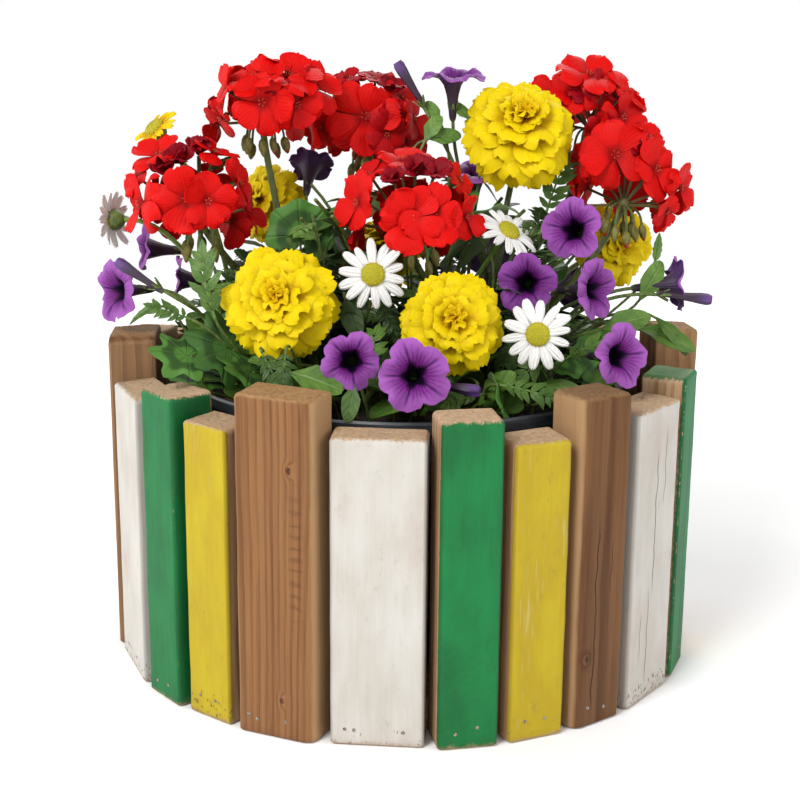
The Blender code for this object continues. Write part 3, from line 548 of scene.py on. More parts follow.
def painted_finish(look, seed, half, thick, rise, paint):
    net = surface(f"board_{seed:02d}_finish", 0.7, 0.3)
    place = net.place()
    x, y, z = net.split(place)
    below, grain = wood(net, place, seed, linear(206, 172, 132), linear(166, 122, 84))
    rough = net.noise(place, 0.5, seed + 15, 4.0, 0.7)
    below = net.mix(net.step(z, rise - 5, rise - 1), below,
                    net.mix(net.step(rough, 0.3, 0.7), linear(224, 194, 156),
                            linear(188, 150, 116)))
    fine = net.noise(place, (0.55, 0.55, 0.3), seed + 10, 4.0, 0.6)
    broad = net.noise(place, (0.05, 0.05, 0.02), seed + 11, 3.0)
    ragged = (fine - 0.5) * 5.0
    out = 0 - y
    aside = net.math("ABSOLUTE", x)
    cover = net.step(out + ragged * 0.5, thick - 3.0, thick - 1.8)
    for side, coated in zip((-1, 1), look["sides"]):
        if coated:
            cover = net.most(cover, net.step(x * side, half - 2.5, half - 1.2)
                             * net.step(out + ragged, 0.0, 2.0))
    # Worn corners, and paint that stops short of the sawn top
    both = net.most(half - aside, thick - out)
    worn = net.step(both + ragged * 0.75 + 1.9 - look["chip"] * 0.7, 0.6, 1.6)
    cover = cover * net.step(worn, 0.1, 0.9)
    if look["top"]:
        cover = net.most(cover, net.step(z + ragged, rise - 2.4, rise - 1.0) * 0.85)
    else:
        cover = cover * net.step(z + ragged, rise - 1.0, rise - 2.4)
    cover = cover * net.step(z + ragged * 1.4 - 1.0, -2.0, 2.0)
    # Brush marks, painted shade on the flanks, and dirt
    full, thin = PAINTS[paint]
    streaks = net.noise(place, (0.5, 0.5, 0.028), seed + 12, 4.0, 0.6)
    if look["strokes"]:
        turned = net.node("VectorRotate", {"Vector": place, "Angle": 0.5},
                          rotation_type="Y_AXIS")
        slanted = net.noise(turned, (0.05, 0.3, 0.6), seed + 12, 4.0, 0.65)
        low = net.step(z, 110, 60)
        streaks = streaks * (1 - low) + slanted * low
    tone = (streaks - 0.5) * 0.55 + (broad - 0.5) * 1.5 + 0.5
    net.colour = net.mix(net.step(tone, 0.0, 1.0), full, thin)
    # Painted shade: the paint is darker on both flanks of the board, where the neighbouring boards
    # shade it
    net.colour = net.mix(net.step(aside, half - 2.0, half - 0.6) * 0.45, net.colour,
                         tuple(0.45 * c for c in thin))
    if look["worn"]:
        pale = net.step(streaks * 0.5 + broad * 0.5, 0.54, 0.66)
        net.coat(pale * 0.55, 222, 206, 120)
    mottle = net.step(net.noise(place, (0.25, 0.25, 0.12), seed + 16, 5.0, 0.7), 0.56, 0.8)
    net.coat(mottle * (0.24 if paint == "white" else 0.45),
             *((10, 74, 38) if paint == "green" else (96, 84, 62)))
    # Small chips in the paint, most of them at the foot of the board
    chips = net.noise(place, (0.45, 0.45, 0.3), seed + 17, 3.0, 0.7)
    if not look["specks"]:
        chips = chips - 0.08
    chips = chips + net.step(z, 26.0, 3.0) * 0.16
    net.coat(net.step(chips, 0.7, 0.76) * 0.8, 96, 78, 56)
    if paint == "white":
        stain = net.step(net.noise(place, (0.035, 0.035, 0.02), seed + 14, 5.0), 0.5, 0.72)
        net.coat(stain * 0.5, 206, 180, 168)
    net.colour = net.mix(cover, below, net.colour)
    height = crack(net, place, look["cracks"], thick, seed,
                   cover * 0.55 + streaks * 0.25 + grain * 0.2, 52, 40, 30)
    net.set("Roughness", net.step(cover, 0.0, 1.0, 0.75, 0.55))
    return net.finish(height, 0.3)


def nail_metal():
    net = surface("nail_steel", 0.45)
    rust = net.noise(net.place(), 0.9, 2.0)
    net.start(net.step(rust, 0.35, 0.65), (188, 182, 172), (118, 96, 78))
    net.set("Metallic", 0.3)
    return net.finish(rust, 0.15)


def make_planter():
    nails = Skin()
    rng = random.Random(4)
    for node in sorted(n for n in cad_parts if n.startswith("slat")):
        number, paint = int(node[5:7]), node[8:]
        turn, inner, half, thick = make_board(number, node, paint)
        for across in NAILS.get(number, (-0.42 * half, 0.3 * half)):
            rise = NAIL_RISE + rng.uniform(-2.0, 2.0)
            rings = [[(across + radius * math.cos(a), inner - thick - out,
                       rise + radius * math.sin(a))
                      for a in np.linspace(2 * math.pi, 0, 12, endpoint=False)]
                     for out, radius in ((-1.2, 0.8), (-0.1, 1.05), (0.12, 0.95), (0.22, 0.5))]
            nails.solid((np.array(rings) @ rotated(turn, "Z").T)[:, ::-1], 0)
    nails.build("nail_heads", [nail_metal()], None, "bare_wood")


# Plant finishes

def marked(name, roughness, gloss=None, soft=None):
    """A new material, the three marks of its mesh, and the place on it."""
    net = surface(name, roughness, gloss, soft)
    return net, *net.marks(), net.place()


def petal_red():
    net, along, across, tone, place = marked("petal_red", 0.55, 0.12, 0.25)
    vein = net.math("SINE", across * 26.0 + net.noise(place, 0.25, 1.0) * 5.0)
    fine = net.noise(place, 0.35, 2.0, 4.0)
    # Painted shade in part: a low tone gives the darker crimson of half-open florets and of florets
    # shaded within the head
    net.start(net.step(tone + (fine - 0.5) * 0.3, 0.1, 0.8), (146, 0, 26), (238, 8, 2))
    net.coat(net.step(fine, 0.45, 0.75) * 0.5, 214, 0, 0)
    net.coat(net.step(along, 0.26, 0.08) * 0.6, 128, 0, 8)
    net.coat(net.step(vein, 0.55, 0.95) * net.step(along, 0.7, 0.15) * 0.14, 136, 0, 6)
    return net.finish(net.step(vein, -0.4, 1.0) * 0.4 + fine, 0.2)


def petal_yellow():
    net, along, across, tone, place = marked("petal_yellow", 0.6, 0.12, 0.5)
    fine = net.noise(place, 0.4, 3.0, 4.0)
    net.start(net.step(along + (fine - 0.5) * 0.3, 0.1, 0.7), (214, 140, 0), (255, 224, 0))
    net.coat(net.step(tone, 0.45, 0.05) * 0.6, 232, 164, 0)
    return net.finish(net.math("SINE", across * 19.0) * 0.25 + fine * 0.6, 0.14)


def petal_white():
    net, along, across, tone, place = marked("petal_white", 0.55, 0.2, 0.65)
    grooves = net.math("COSINE", across * 9.0)
    net.colour = net.mix(net.step(along, 0.3, 0.0) * 0.6, PETAL_WHITE, linear(226, 226, 206))
    # Painted shade: grey in the grooves along each ray
    net.coat(net.step(grooves, 0.3, 1.0) * 0.22, 196, 192, 198)
    net.coat(net.step(tone, 0.4, 0.1) * 0.3, 216, 216, 214)
    return net.finish(grooves * 0.4 + net.noise(place, 0.5, 4.0) * 0.3, 0.16)


def disc_yellow():
    net, _, _, tone, place = marked("disc_yellow", 0.75)
    grain = net.node("TexVoronoi", {"Vector": net.vector("ADD", net.vector(
        "MULTIPLY", place, (1.1,) * 3), (2.0,) * 3), "Scale": 1.0})
    net.start(net.step(grain, 0.2, 0.8), (240, 218, 20), (186, 166, 6))
    net.coat(net.step(tone, 0.75, 0.3) * 0.5, 196, 200, 40)
    return net.finish(net.step(grain, 0.6, 0.0), 0.4)


def petunia_face():
    """Upper side of a petunia: dark throat, dark star along the lobes' middles, fine veins."""
    net, along, across, tone, place = marked("petunia_face", 0.55, 0.15, 0.25)
    fine = net.noise(place, 0.35, 5.0, 4.0)
    veins = net.math("SINE", across * 21.0 + (fine - 0.5) * 7.0)
    edge = net.step(along + (fine - 0.5) * 0.08, 0.62, 0.98)
    net.start(edge, (132, 40, 142), (178, 100, 194))
    net.colour = net.mix(net.step(tone, 0.2, 0.8),
                         net.mix(edge, linear(88, 16, 100), linear(118, 40, 136)), net.colour)
    middle = net.step(across, 0.16, 0.02) * net.step(along, 1.0, 0.76)
    branch = net.step(veins, 0.45, 0.95) * net.step(along, 0.96, 0.7)
    net.coat(net.most(middle * 0.85, branch * 0.6), 56, 8, 88)
    reach = 0.68 - across * 0.10 + (fine - 0.5) * 0.06
    net.coat(net.step(reach - along, -0.06, 0.06), 20, 2, 34)
    return net.finish(net.step(across, 0.3, 0.0) * -0.8 + veins * 0.15 + fine * 0.6, 0.3)


def petunia_back():
    net, along, across, _, place = marked("petunia_back", 0.6)
    fine = net.noise(place, (0.4, 0.4, 0.25), 6.0, 4.0)
    lines = net.math("SINE", across * 14.0)
    net.start(net.step(along, 0.5, 0.85), (54, 32, 56), (98, 56, 132))
    net.coat(net.step(lines + (fine - 0.5), 0.2, 0.9) * 0.4, 44, 22, 52)
    net.coat(net.step(along, 0.12, 0.0) * 0.7, 96, 104, 62)
    return net.finish(lines * 0.3 + fine * 0.5, 0.2)


def leaf_green():
    """Upper side of a leaf: rib, side veins, and a lighter or darker green by its tone, which is
    painted shade that darkens the leaves deeper in the planting.
    """
    net, along, across, tone, place = marked("leaf_upper", 0.5, 0.35)
    side = net.math("ABSOLUTE", across)
    blotch = net.noise(place, 0.12, 7.0, 4.0)
    veins = net.math("SINE", along * 34.0 - side * 8.0)
    light = net.mix(net.step(blotch, 0.3, 0.75), linear(82, 124, 40), linear(120, 160, 62))
    net.colour = net.mix(net.step(tone, 0.1, 0.8), linear(26, 52, 16), light)
    rib = net.most(net.step(side, 0.12, 0.03), net.step(veins, 0.8, 1.0) * 0.4)
    net.coat(rib * net.step(tone, 0.1, 0.8, 0.1, 0.4), 140, 170, 96)
    return net.finish(net.step(veins, 0.2, -0.8) * 0.5 - net.step(side, 0.15, 0.0)
                      + blotch * 0.6, 0.3)


def leaf_back():
    net, _, across, tone, place = marked("leaf_under", 0.65)
    # Painted shade: a darker green for a low tone, deeper in the planting
    net.start(net.step(tone, 0.1, 0.9), (40, 62, 32), (122, 150, 92))
    net.coat(net.step(net.math("ABSOLUTE", across), 0.14, 0.04) * 0.5, 160, 180, 124)
    return net.finish(net.noise(place, 0.2, 8.0), 0.2)


def zonal_green():
    """Round pelargonium leaf: a darker ring, and veins that fan out from the stalk."""
    net, along, across, tone, place = marked("zonal_upper", 0.55, 0.25)
    blotch = net.noise(place, 0.1, 9.0, 4.0)
    fan = net.math("ABSOLUTE", net.math("SINE", across * 11.0))
    # Painted shade: a darker green for a low tone, deeper in the planting
    net.start(net.step(tone, 0.1, 0.6), (30, 62, 24), (88, 140, 56))
    out = along + (blotch - 0.5) * 0.3
    net.coat(net.step(out, 0.3, 0.45) * net.step(out, 0.78, 0.64) * 0.75, 38, 66, 32)
    net.coat(net.step(fan, 0.25, 0.02) * net.step(along, 1.0, 0.6) * 0.15, 112, 148, 78)
    return net.finish(net.step(fan, 0.3, 0.0) * -0.8 + blotch * 0.8, 0.6)


def stem_green():
    net, _, _, tone, place = marked("stem_green", 0.55)
    streak = net.noise(place, (0.7, 0.7, 0.12), 10.0, 4.0)
    net.start(net.step(streak, 0.3, 0.7), (74, 98, 34), (122, 140, 62))
    net.coat(net.step(tone, 0.5, 0.1), 112, 78, 44)
    net.coat(net.step(tone, 0.7, 0.95), 120, 158, 50)
    return net.finish(streak, 0.2)


def bud_green():
    """Hanging bud: olive, with red showing at its tip."""
    net, along, _, tone, place = marked("bud_green", 0.6)
    fine = net.noise(place, (0.6, 0.6, 0.3), 11.0)
    net.start(net.step(fine, 0.3, 0.7), (104, 98, 30), (150, 142, 60))
    net.coat(net.step(along + (fine - 0.5) * 0.3 + tone * 0.3, 0.86, 1.06), 196, 40, 22)
    return net.finish(fine, 0.3)


def stamen_pale():
    net, along, *_ = marked("stamen_pale", 0.6)
    net.start(net.step(along, 0.55, 0.8), (216, 40, 40), (212, 110, 74))
    return net.finish(0.0, 0.0)


# Blooms: plant, place of the middle, turn, lift, radius

RED_HEADS = {
    1: ("left", (-130, -25, 274), -38, 52, 38), 2: ("left", (-91, 20, 333), -40, 80, 37),
    3: ("left", (-22, 54, 318), 20, 70, 36), 4: ("right", (1, -53, 272), 0, 56, 37.5),
    5: ("right", (117, 48, 328), 60, 78, 37), 6: ("right", (136, 4, 284), 50, 66, 36),
}

# Open florets of each head from its hub: across, away, up, turn, lift, radius, tone (darker for a
# low tone, partly as painted shade)
FLORETS = {
    1: ((-3, -25, 15, 0, 12, 21, 0.9), (8, -26, 14, 25, 8, 18, 0.8),
        (-30, -12, 11, -60, 4, 20, 0.75), (-22, 3, 36, -30, 58, 18, 0.85),
        (-36, 0, 25, -70, 30, 12, 0.7), (-9, -4, 33, 0, 60, 13, 0.15),
        (0, 3, 38, 10, 70, 12, 0.12), (-18, -6, 28, -10, 50, 12, 0.15),
        (9, 3, 38, 60, 60, 15, 0.75), (1, 4, 43, 20, 80, 9, 0.5), (24, -12, 23, 65, 20, 15, 0.7)),
    2: ((-1, -16, 24, -20, 58, 21, 0.95), (17, -11, 25, 20, 60, 21, 0.95),
        (3, -25, 12, 0, 5, 20, 0.85), (-18, -15, 18, -65, 20, 17, 0.8),
        (-21, -21, 4, -60, -35, 13, 0.7), (22, -20, 11, 30, 0, 17, 0.75),
        (31, -2, 19, 55, 35, 18, 0.85), (11, -19, 19, 0, 40, 11, 0.2),
        (7, -2, 33, 0, 80, 14, 0.85)),
    3: ((-28, -13, 9, -20, 0, 15, 0.7), (-17, 2, 32, -10, 50, 13, 0.3),
        (-12, 3, 38, -10, 60, 10, 0.35), (-22, 3, 35, -50, 50, 9, 0.35),
        (-3, -22, 16, 5, 12, 23, 0.8), (10, -26, 6, 20, -5, 15, 0.5),
        (18, -4, 27, 60, 30, 14, 0.75), (26, -12, 15, 60, 5, 14, 0.8),
        (3, 3, 37, 10, 75, 12, 0.3), (13, -4, 29, 20, 60, 13, 0.2),
        (14, -20, 15, 30, 10, 13, 0.45)),
    4: ((1, -27, 11, -6, 10, 20, 0.9), (12, -24, 13, 12, 10, 20, 0.85),
        (-27, -11, 18, -56, 5, 19, 0.8), (-22, 1, 31, -40, 45, 13, 0.7),
        (-5, 3, 39, -10, 72, 17, 0.9), (3, -7, 33, 0, 55, 12, 0.12),
        (13, -5, 31, 15, 55, 13, 0.15), (-9, -12, 29, -20, 50, 10, 0.12),
        (27, 1, 29, 70, 30, 13, 0.75), (30, -13, 11, 55, 0, 15, 0.75)),
    5: ((-23, -8, 23, -30, 40, 19, 0.8), (-3, -7, 31, 10, 60, 23, 0.9),
        (-14, -15, 22, -5, 25, 18, 0.75), (-6, -16, 24, 0, 40, 11, 0.25),
        (6, -12, 26, 40, 50, 14, 0.4), (19, -9, 22, 70, 40, 16, 0.8),
        (15, -22, 9, 40, 5, 19, 0.75), (4, -28, 3, 0, -20, 12, 0.55)),
    6: ((-8, -8, 30, 0, 12, 23, 0.95), (-25, 0, 25, -70, 0, 13, 0.7),
        (14, 3, 39, 40, 40, 12, 0.7), (15, -13, 22, 32, 20, 20, 0.85),
        (31, -5, 11, 62, 5, 16, 0.85), (22, -20, -1, 40, -30, 11, 0.75),
        (8, -6, 30, 10, 40, 11, 0.15), (3, 3, 39, 20, 60, 13, 0.5)),
}
MARIGOLDS = {
    1: ("left", (-70, -91, 226), -6, 26, 33), 2: ("right", (25, -98, 216), 4, 20, 30),
    3: ("right", (67, -2, 317), 2, 42, 36), 4: ("left", (-94, 60, 264), -44, 24, 27),
    5: ("right", (134, 50, 240), 14, 18, 27), 6: ("left", (-18, 112, 226), -172, 35, 29),
}
DAISIES = {
    1: ("right", (-19, -84, 239), 2, 16, 20.5), 2: ("right", (58, -45, 259), 42, 48, 20),
    3: ("right", (70, -108, 211), -12, 12, 20.5), 4: ("left", (-178, -2, 258), -108, -4, 19),
    5: ("left", (-153, 12, 312), -60, 46, 17),
}

# Flowers of each petunia stem; radius 0 is a closed one
PETUNIAS = {
    "front": (((-30, -124, 199), 0, 12, 16), ((4, -140, 195), 2, 14, 19.5),
              ((38, -128, 184), 70, -6, 0)),
    "left": (((-176, -28, 219), -46, 4, 19), ((-166, 14, 239), -70, 6, 15),
             ((-150, 42, 216), -84, 6, 15), ((-167, -44, 239), -100, 30, 0)),
    "right": (((66, -72, 233), -8, 10, 17), ((111, -60, 228), 48, 8, 18),
              ((119, -106, 199), 34, 10, 18), ((165, -18, 225), 95, 5, 17),
              ((178, -34, 218), 84, -4, 0)),
    "middle": (((91, -56, 262), -24, 14, 18), ((26, 12, 349), -10, 82, 19),
               ((42, 27, 291), 10, 78, 19), ((-7, 14, 351), -90, 58, 0)),
    "back": (((-62, 74, 289), 175, 40, 15), ((60, 122, 222), 160, 22, 19),
             ((112, 92, 206), 130, 18, 18)),
}
PETUNIA_DEPTH, DISC_RADIUS = 32.0, 6.6
BACK_FLORETS, DISC_FLORETS, HANGING_BUDS, LOW_LEAVES, ROUND_LEAVES = 7, 110, 8, 210, 22
BLOOM_SPOTS = [(np.array(place, float), share * radius)
               for table, share in ((MARIGOLDS, 0.92), (DAISIES, 0.92), (RED_HEADS, 0.85))
               for _, place, _, _, radius in table.values()]
BLOOM_SPOTS += [(np.array(place, float), 0.9 * radius) for spray in PETUNIAS.values()
                for place, _, _, radius in spray if radius]
CROWNS = {
    "red_left": (-62, 22), "red_right": (64, 22), "marigold_left": (-46, -40),
    "marigold_right": (40, -34), "daisy_left": (-98, -18), "daisy_right": (6, -66),
    "front": (-18, -100), "left": (-94, -52), "right": (88, -48), "middle": (12, 14),
    "back": (22, 84), "leafy": (2, 46),
}
SOIL_LEVEL = 150.0
PETAL_WHITE = (0.68, 0.67, 0.65)

UPPER, UNDER, STEM, ZONAL, BUD = range(5)      # materials of the green pieces


def crown(name):
    x, y = CROWNS[name]
    return np.array([x, y, SOIL_LEVEL - 4.0])


def petal(length, wide, rows, columns, widest=0.62, base=0.14, tip=0.985):
    """Flat petal along +X: narrow foot, round tip."""
    s = np.sin(np.linspace(0, 1, rows) * math.pi / 2) * tip
    half = np.where(s < widest, base + (1 - base) * eased(s, 0, widest),
                    np.sqrt(np.maximum(1 - ((s - widest) / (1 - widest)) ** 2, 0)))
    t = np.linspace(-1, 1, columns)
    grid = np.zeros((rows, columns, 3))
    grid[..., 0] = length * s[:, None]
    grid[..., 1] = wide * half[:, None] * t
    return grid, s[:, None], t[None, :]


def add_floret(skin, middle, turning, radius, tone, rng):
    """Pelargonium floret: five broad petals that overlap, and fine stamens. Low tones are the
    small dark ones that are only half open; their darker red is partly painted shade."""
    closed = 0.8 if tone < 0.22 else 0.1
    spin = rng.uniform(0, 2 * math.pi / 5)
    for k in range(5):
        length = radius * rng.uniform(0.86, 1.08)
        grid, s, t = petal(length, length * rng.uniform(0.42, 0.54), 9, 7, 0.7)
        phase, other = rng.uniform(0, 6.3), rng.uniform(0, 6.3)
        grid[..., 0] += length * 0.035 * s ** 5 * np.cos(rng.uniform(5, 9) * t + phase)
        grid[..., 2] = (length * (rng.uniform(-0.22, 0.08) * t ** 2 * s + 0.12 * s * (1 - s)
                                  + rng.uniform(0.03, 0.09) * s ** 2 * np.sin(3.0 * t + other)
                                  + 0.025 * s ** 3 * np.sin(7.5 * t + phase)
                                  - rng.uniform(-0.08, 0.22) * s ** 3) + 0.4 * k)
        lift = rotated(-rng.uniform(-0.1, 0.42) - closed, "Y") @ rotated(
            rng.uniform(-0.22, 0.22), "X")
        about = rotated(spin + 2 * math.pi * k / 5 + rng.uniform(-0.16, 0.16), "Z")
        place = turning @ about @ lift
        skin.blade(grid @ place.T + middle, 0, None, 0.45,
                   max(0.0, min(1.0, tone + rng.uniform(-0.12, 0.1))))
    for k in range(5):
        angle = spin + 2 * math.pi * k / 5
        end = np.array([0.10 * radius * math.cos(angle), 0.10 * radius * math.sin(angle),
                        0.24 * radius])
        path = np.array([[0, 0, 0], 0.55 * end + [0, 0, 0.02 * radius], end])
        skin.tube(path @ turning.T + middle, [0.22, 0.2, 0.32], 2, 5)


def make_red_head(number, materials):
    _, place, turn, lift, radius = RED_HEADS[number]
    rng = random.Random(200 + number)
    face = facing(turn, lift)
    hub = np.array(place) + (4.5 - 0.6 * radius) * face
    skin = Skin()
    florets = [(np.array(row[:3], float), facing(row[3], row[4]), row[5], row[6])
               for row in FLORETS[number]]
    # Florets of the side that faces away from the front
    reach = 0.86 * radius
    for _ in range(400):                          # tries
        way = facing(rng.uniform(0, 360), rng.uniform(-8, 80))
        spot = way * reach * np.array([0.85, 0.95, 0.8])
        if way[1] < 0.0 or len(florets) > len(FLORETS[number]) + BACK_FLORETS:
            continue
        if min(np.linalg.norm(spot - other[0]) for other in florets) > 0.5 * radius:
            florets.append((spot, way, rng.uniform(0.42, 0.5) * radius,
                            rng.uniform(0.65, 0.95)))
    for spot, way, size, tone in florets:
        middle = hub + spot
        add_floret(skin, middle, axes(way), size, tone, rng)
        back = middle - way * 0.5
        skin.tube(curve(hub, 0.3 * spot, way * 6, back, 7), np.linspace(0.8, 0.95, 7), 1, 6,
                  0.25)
    skin.build(f"red_head_{number}", materials, f"pelargonium_head_{number}", "red_petals")
    return hub, face


# Tiers of a marigold from the outside in: petals, their length and half width as shares of the
# head's radius, and how far they rise in degrees
MARIGOLD_TIERS = ((12, 1.06, 0.28, -20), (12, 1.0, 0.28, -4), (11, 0.86, 0.27, 10),
                  (9, 0.68, 0.25, 24), (8, 0.50, 0.20, 38), (7, 0.36, 0.14, 56),
                  (6, 0.25, 0.10, 74))


def add_marigold(skin, middle, turning, radius, rng):
    """Double head: tiers of broad ruffled petals, drooping outside and upright within."""
    turned = rng.uniform(0, 6.3)
    for tier, (count, long, wide, lift) in enumerate(MARIGOLD_TIERS):
        for k in range(count):
            length = radius * long * rng.uniform(0.94, 1.07)
            grid, s, t = petal(length, radius * wide * rng.uniform(0.88, 1.12), 8, 8, 0.76,
                               0.22, 0.97)
            phase, ruffle = rng.uniform(0, 6.3), rng.uniform(0.02, 0.05) * radius
            grid[..., 0] -= length * 0.03 * s ** 5 * (np.cos(2.6 * math.pi * t + phase) + 1)
            grid[..., 2] = (ruffle * s ** 2 * np.sin(2.8 * t + phase)
                            + ruffle * 0.25 * s ** 3 * np.sin(7.0 * t + 2 * phase)
                            + length * (0.28 * s * (1 - s) - rng.uniform(-0.04, 0.16) * s ** 3
                                        - 0.12 * t ** 2 * s))
            tilt = math.radians(lift + rng.uniform(-10, 10))
            place = turning @ rotated(turned + 2 * math.pi * (k + rng.uniform(-0.2, 0.2))
                                      / count, "Z") @ rotated(-tilt, "Y") \
                @ rotated(rng.uniform(-0.15, 0.15), "X")
            foot = turning @ np.array([0, 0, radius * (0.02 + 0.06 * tier)])
            skin.blade(grid @ place.T + middle + foot, 0, None, 0.4,
                       min(1.0, max(0.0, 1.0 - 0.14 * tier + rng.uniform(-0.1, 0.1))))
        turned += 2.4


def add_daisy(skin, middle, turning, radius, rng, rays=14):
    for k in range(rays):
        length = radius * rng.uniform(0.86, 1.04)
        grid, s, t = petal(length, length * rng.uniform(0.115, 0.15), 10, 7, 0.66, 0.5, 0.985)
        grid[..., 0] -= length * 0.03 * s ** 8 * (1 + np.cos(2.6 * math.pi * t))
        grid[..., 2] = (length * (0.05 * s * (1 - s) * 4 - 0.04 * t ** 2 * s
                                  - rng.uniform(0.0, 0.16) * s ** 3)
                        + 0.3 * np.cos(3 * math.pi * t) * s + 0.25 * (k % 2))
        place = turning @ rotated(2 * math.pi * (k + rng.uniform(-0.12, 0.12)) / rays, "Z") \
            @ rotated(rng.uniform(-0.14, 0.1), "X") @ rotated(-rng.uniform(-0.02, 0.14), "Y")
        skin.blade(grid @ place.T + middle, 0, None, 0.45, rng.uniform(0.3, 1.0))


def add_disc(skin, middle, turning, radius):
    """Dome of small florets in a spiral."""
    skin.solid(lathe(((radius * 0.8, 0.2), (radius, 1.0), (radius * 0.96, 2.4),
                      (radius * 0.75, 3.7), (radius * 0.4, 4.4), (radius * 0.05, 4.5)),
                     24, turning, middle), 0, 0.0)
    for k in range(1, DISC_FLORETS):
        share = math.sqrt(k / DISC_FLORETS)
        r, angle = radius * share, GOLDEN * k
        size = 0.36 + 0.16 * share
        spot = (r * math.cos(angle), r * math.sin(angle), 4.5 - 2.6 * share ** 2.6)
        bump = lathe(((size, -0.6 * size), (size, 0.5 * size), (0.45 * size, 1.1 * size)), 5)
        skin.solid((bump + spot) @ turning.T + middle, 0, share)


def flare(radius, depth, rows):
    """Radius and height of a petunia from the foot of its tube to the edge of its lobes."""
    u = np.linspace(0, 1, rows)
    stops = np.array([0, 0.1, 0.3, 0.48, 0.6, 0.7, 0.8, 0.9, 1.0])
    width = np.array([1.3, 2.0, 2.5, 3.6, 5.4, 0.46 * radius, 0.66 * radius, 0.84 * radius,
                      radius])
    height = np.array([0.0, 2.0, 9.0, 16.0, 22.0, 26.2, 28.6, 29.6, 29.2]) * depth / 32
    return u, np.interp(u, stops, width), np.interp(u, stops, height)


def add_calyx(skin, foot, turning, rng, sizes, wide, lean, curl):
    """Five narrow green lobes round the foot of a petunia's tube."""
    for k in range(5):
        grid, _, _ = petal(rng.uniform(*sizes), wide, 5, 3, 0.5, 0.6)
        grid[..., 2] = curl * grid[..., 0] ** 1.3
        place = turning @ rotated(2 * math.pi * k / 5, "Z") @ rotated(lean, "Y")
        skin.blade(grid @ place.T + foot, 2, None, 0.5, 0.7)


def add_petunia(skin, middle, turning, radius, tone, rng):
    """Trumpet flower with five ruffled lobes. The middle is that of its face."""
    rows, columns = 18, 50
    u, width, height = flare(radius, PETUNIA_DEPTH, rows)
    angle = np.linspace(0, 2 * math.pi, columns, endpoint=False)
    limb = eased(u, 0.6, 1.0)[:, None]
    lobe = np.abs(np.cos(2.5 * angle))[None, :]
    reach = 1 - limb * (0.2 * (1 - lobe ** 0.5))
    reach = reach * (1 + limb * 0.05 * np.sin(3 * angle + rng.uniform(0, 6)))
    reach = reach * (1 + limb * 0.02 * np.sin(17 * angle + rng.uniform(0, 6)))
    phase = [rng.uniform(0, 6.3) for _ in range(3)]
    wave = (0.09 * np.cos(5 * angle + 0.5 * phase[0]) + 0.06 * np.sin(2 * angle + phase[1])
            + 0.045 * np.sin(10 * angle + phase[2]))
    grid = np.zeros((rows, columns, 3))
    grid[..., 0] = width[:, None] * reach * np.cos(angle)
    grid[..., 1] = width[:, None] * reach * np.sin(angle)
    crease = np.exp(-(np.arccos(np.clip(lobe, 0, 1)) / 0.16) ** 2)
    grid[..., 2] = (height[:, None] - PETUNIA_DEPTH + limb ** 1.5 * radius * (wave - 0.12)
                    - limb * (1 - limb) * 4 * crease * 0.5)
    across = np.arccos(np.clip(lobe[0], 0, 1)) / (math.pi / 2)
    skin.blade(grid @ turning.T + middle, 0, 1, 0.4, tone, True, across)
    foot = turning @ np.array([0, 0, -PETUNIA_DEPTH])
    add_calyx(skin, middle + foot, turning, rng, (9, 12), 1.1, -0.95, 0.18)


def add_closed_petunia(skin, middle, turning, rng):
    """Furled flower: a long dark tube with a twisted, blunt end."""
    rings = []
    for k, (z, r) in enumerate(((-32, 1.2), (-28, 1.7), (-20, 1.9), (-12, 2.5), (-6, 3.1),
                                (-2, 3.2), (0.4, 2.4))):
        wavy = [(r * (1 + 0.14 * math.cos(5 * a + 0.5 * k)), a)
                for a in np.linspace(0, 2 * math.pi, 20, endpoint=False)]
        rings.append([(w * math.cos(a), w * math.sin(a) + 0.04 * (z / 6) ** 2, z)
                      for w, a in wavy])
    skin.solid(np.array(rings) @ turning.T + middle, 1, 0.3)
    foot = turning @ np.array([0, 0, -PETUNIA_DEPTH])
    add_calyx(skin, middle + foot, turning, rng, (8, 11), 1.0, -1.1, 0.0)


# Leaves: along +X, upper face up

def put_leaf(skin, parts, base, along, face, tone, upper):
    """Sets the blades of one leaf so that it points along and faces as asked."""
    x = unit(along)
    z = np.asarray(face, float) - x * np.dot(face, x)
    z = unit(z) if np.linalg.norm(z) > 0.05 else unit(np.cross(x, (0.2, 0.9, 0.4)))
    place = np.column_stack([x, np.cross(z, x), z])
    for grid, across in parts:
        skin.blade(grid @ place.T + base, upper, UNDER, 0.4, tone, False, across)


def oval_leaf(length, rng):
    grid, s, t = petal(length, length * rng.uniform(0.24, 0.3), 9, 5, 0.42, 0.12, 0.995)
    grid[..., 2] = (0.16 * np.abs(grid[..., 1]) - length * rng.uniform(0.1, 0.3) * s ** 2
                    + 0.02 * length * np.sin(6 * s + rng.uniform(0, 6)) * np.abs(t))
    return [(grid, None)]


def toothed(length, wide, teeth, rows=7, columns=3):
    """Narrow leaflet with saw teeth and a pointed tip."""
    s = np.linspace(0, 1, rows)[:, None]
    t = np.linspace(-1, 1, columns)[None, :]
    half = np.sin(math.pi * np.clip(s, 0, 1) ** 0.75) ** 0.8 * (1 - 0.3 * ((s * teeth) % 1)) + 0.05
    grid = np.zeros((rows, columns, 3))
    grid[..., 0] = length * s
    grid[..., 1] = wide * half * t
    return grid, s


def slim_leaf(length, rng):
    """Narrow toothed leaf that arches over."""
    grid, s = toothed(length, length * rng.uniform(0.1, 0.15), 5, 11)
    grid[..., 2] = (0.5 * np.abs(grid[..., 1]) - length * rng.uniform(0.1, 0.4) * s ** 2)
    grid[..., 1] += length * rng.uniform(-0.15, 0.15) * s ** 2
    return [(grid, None)]


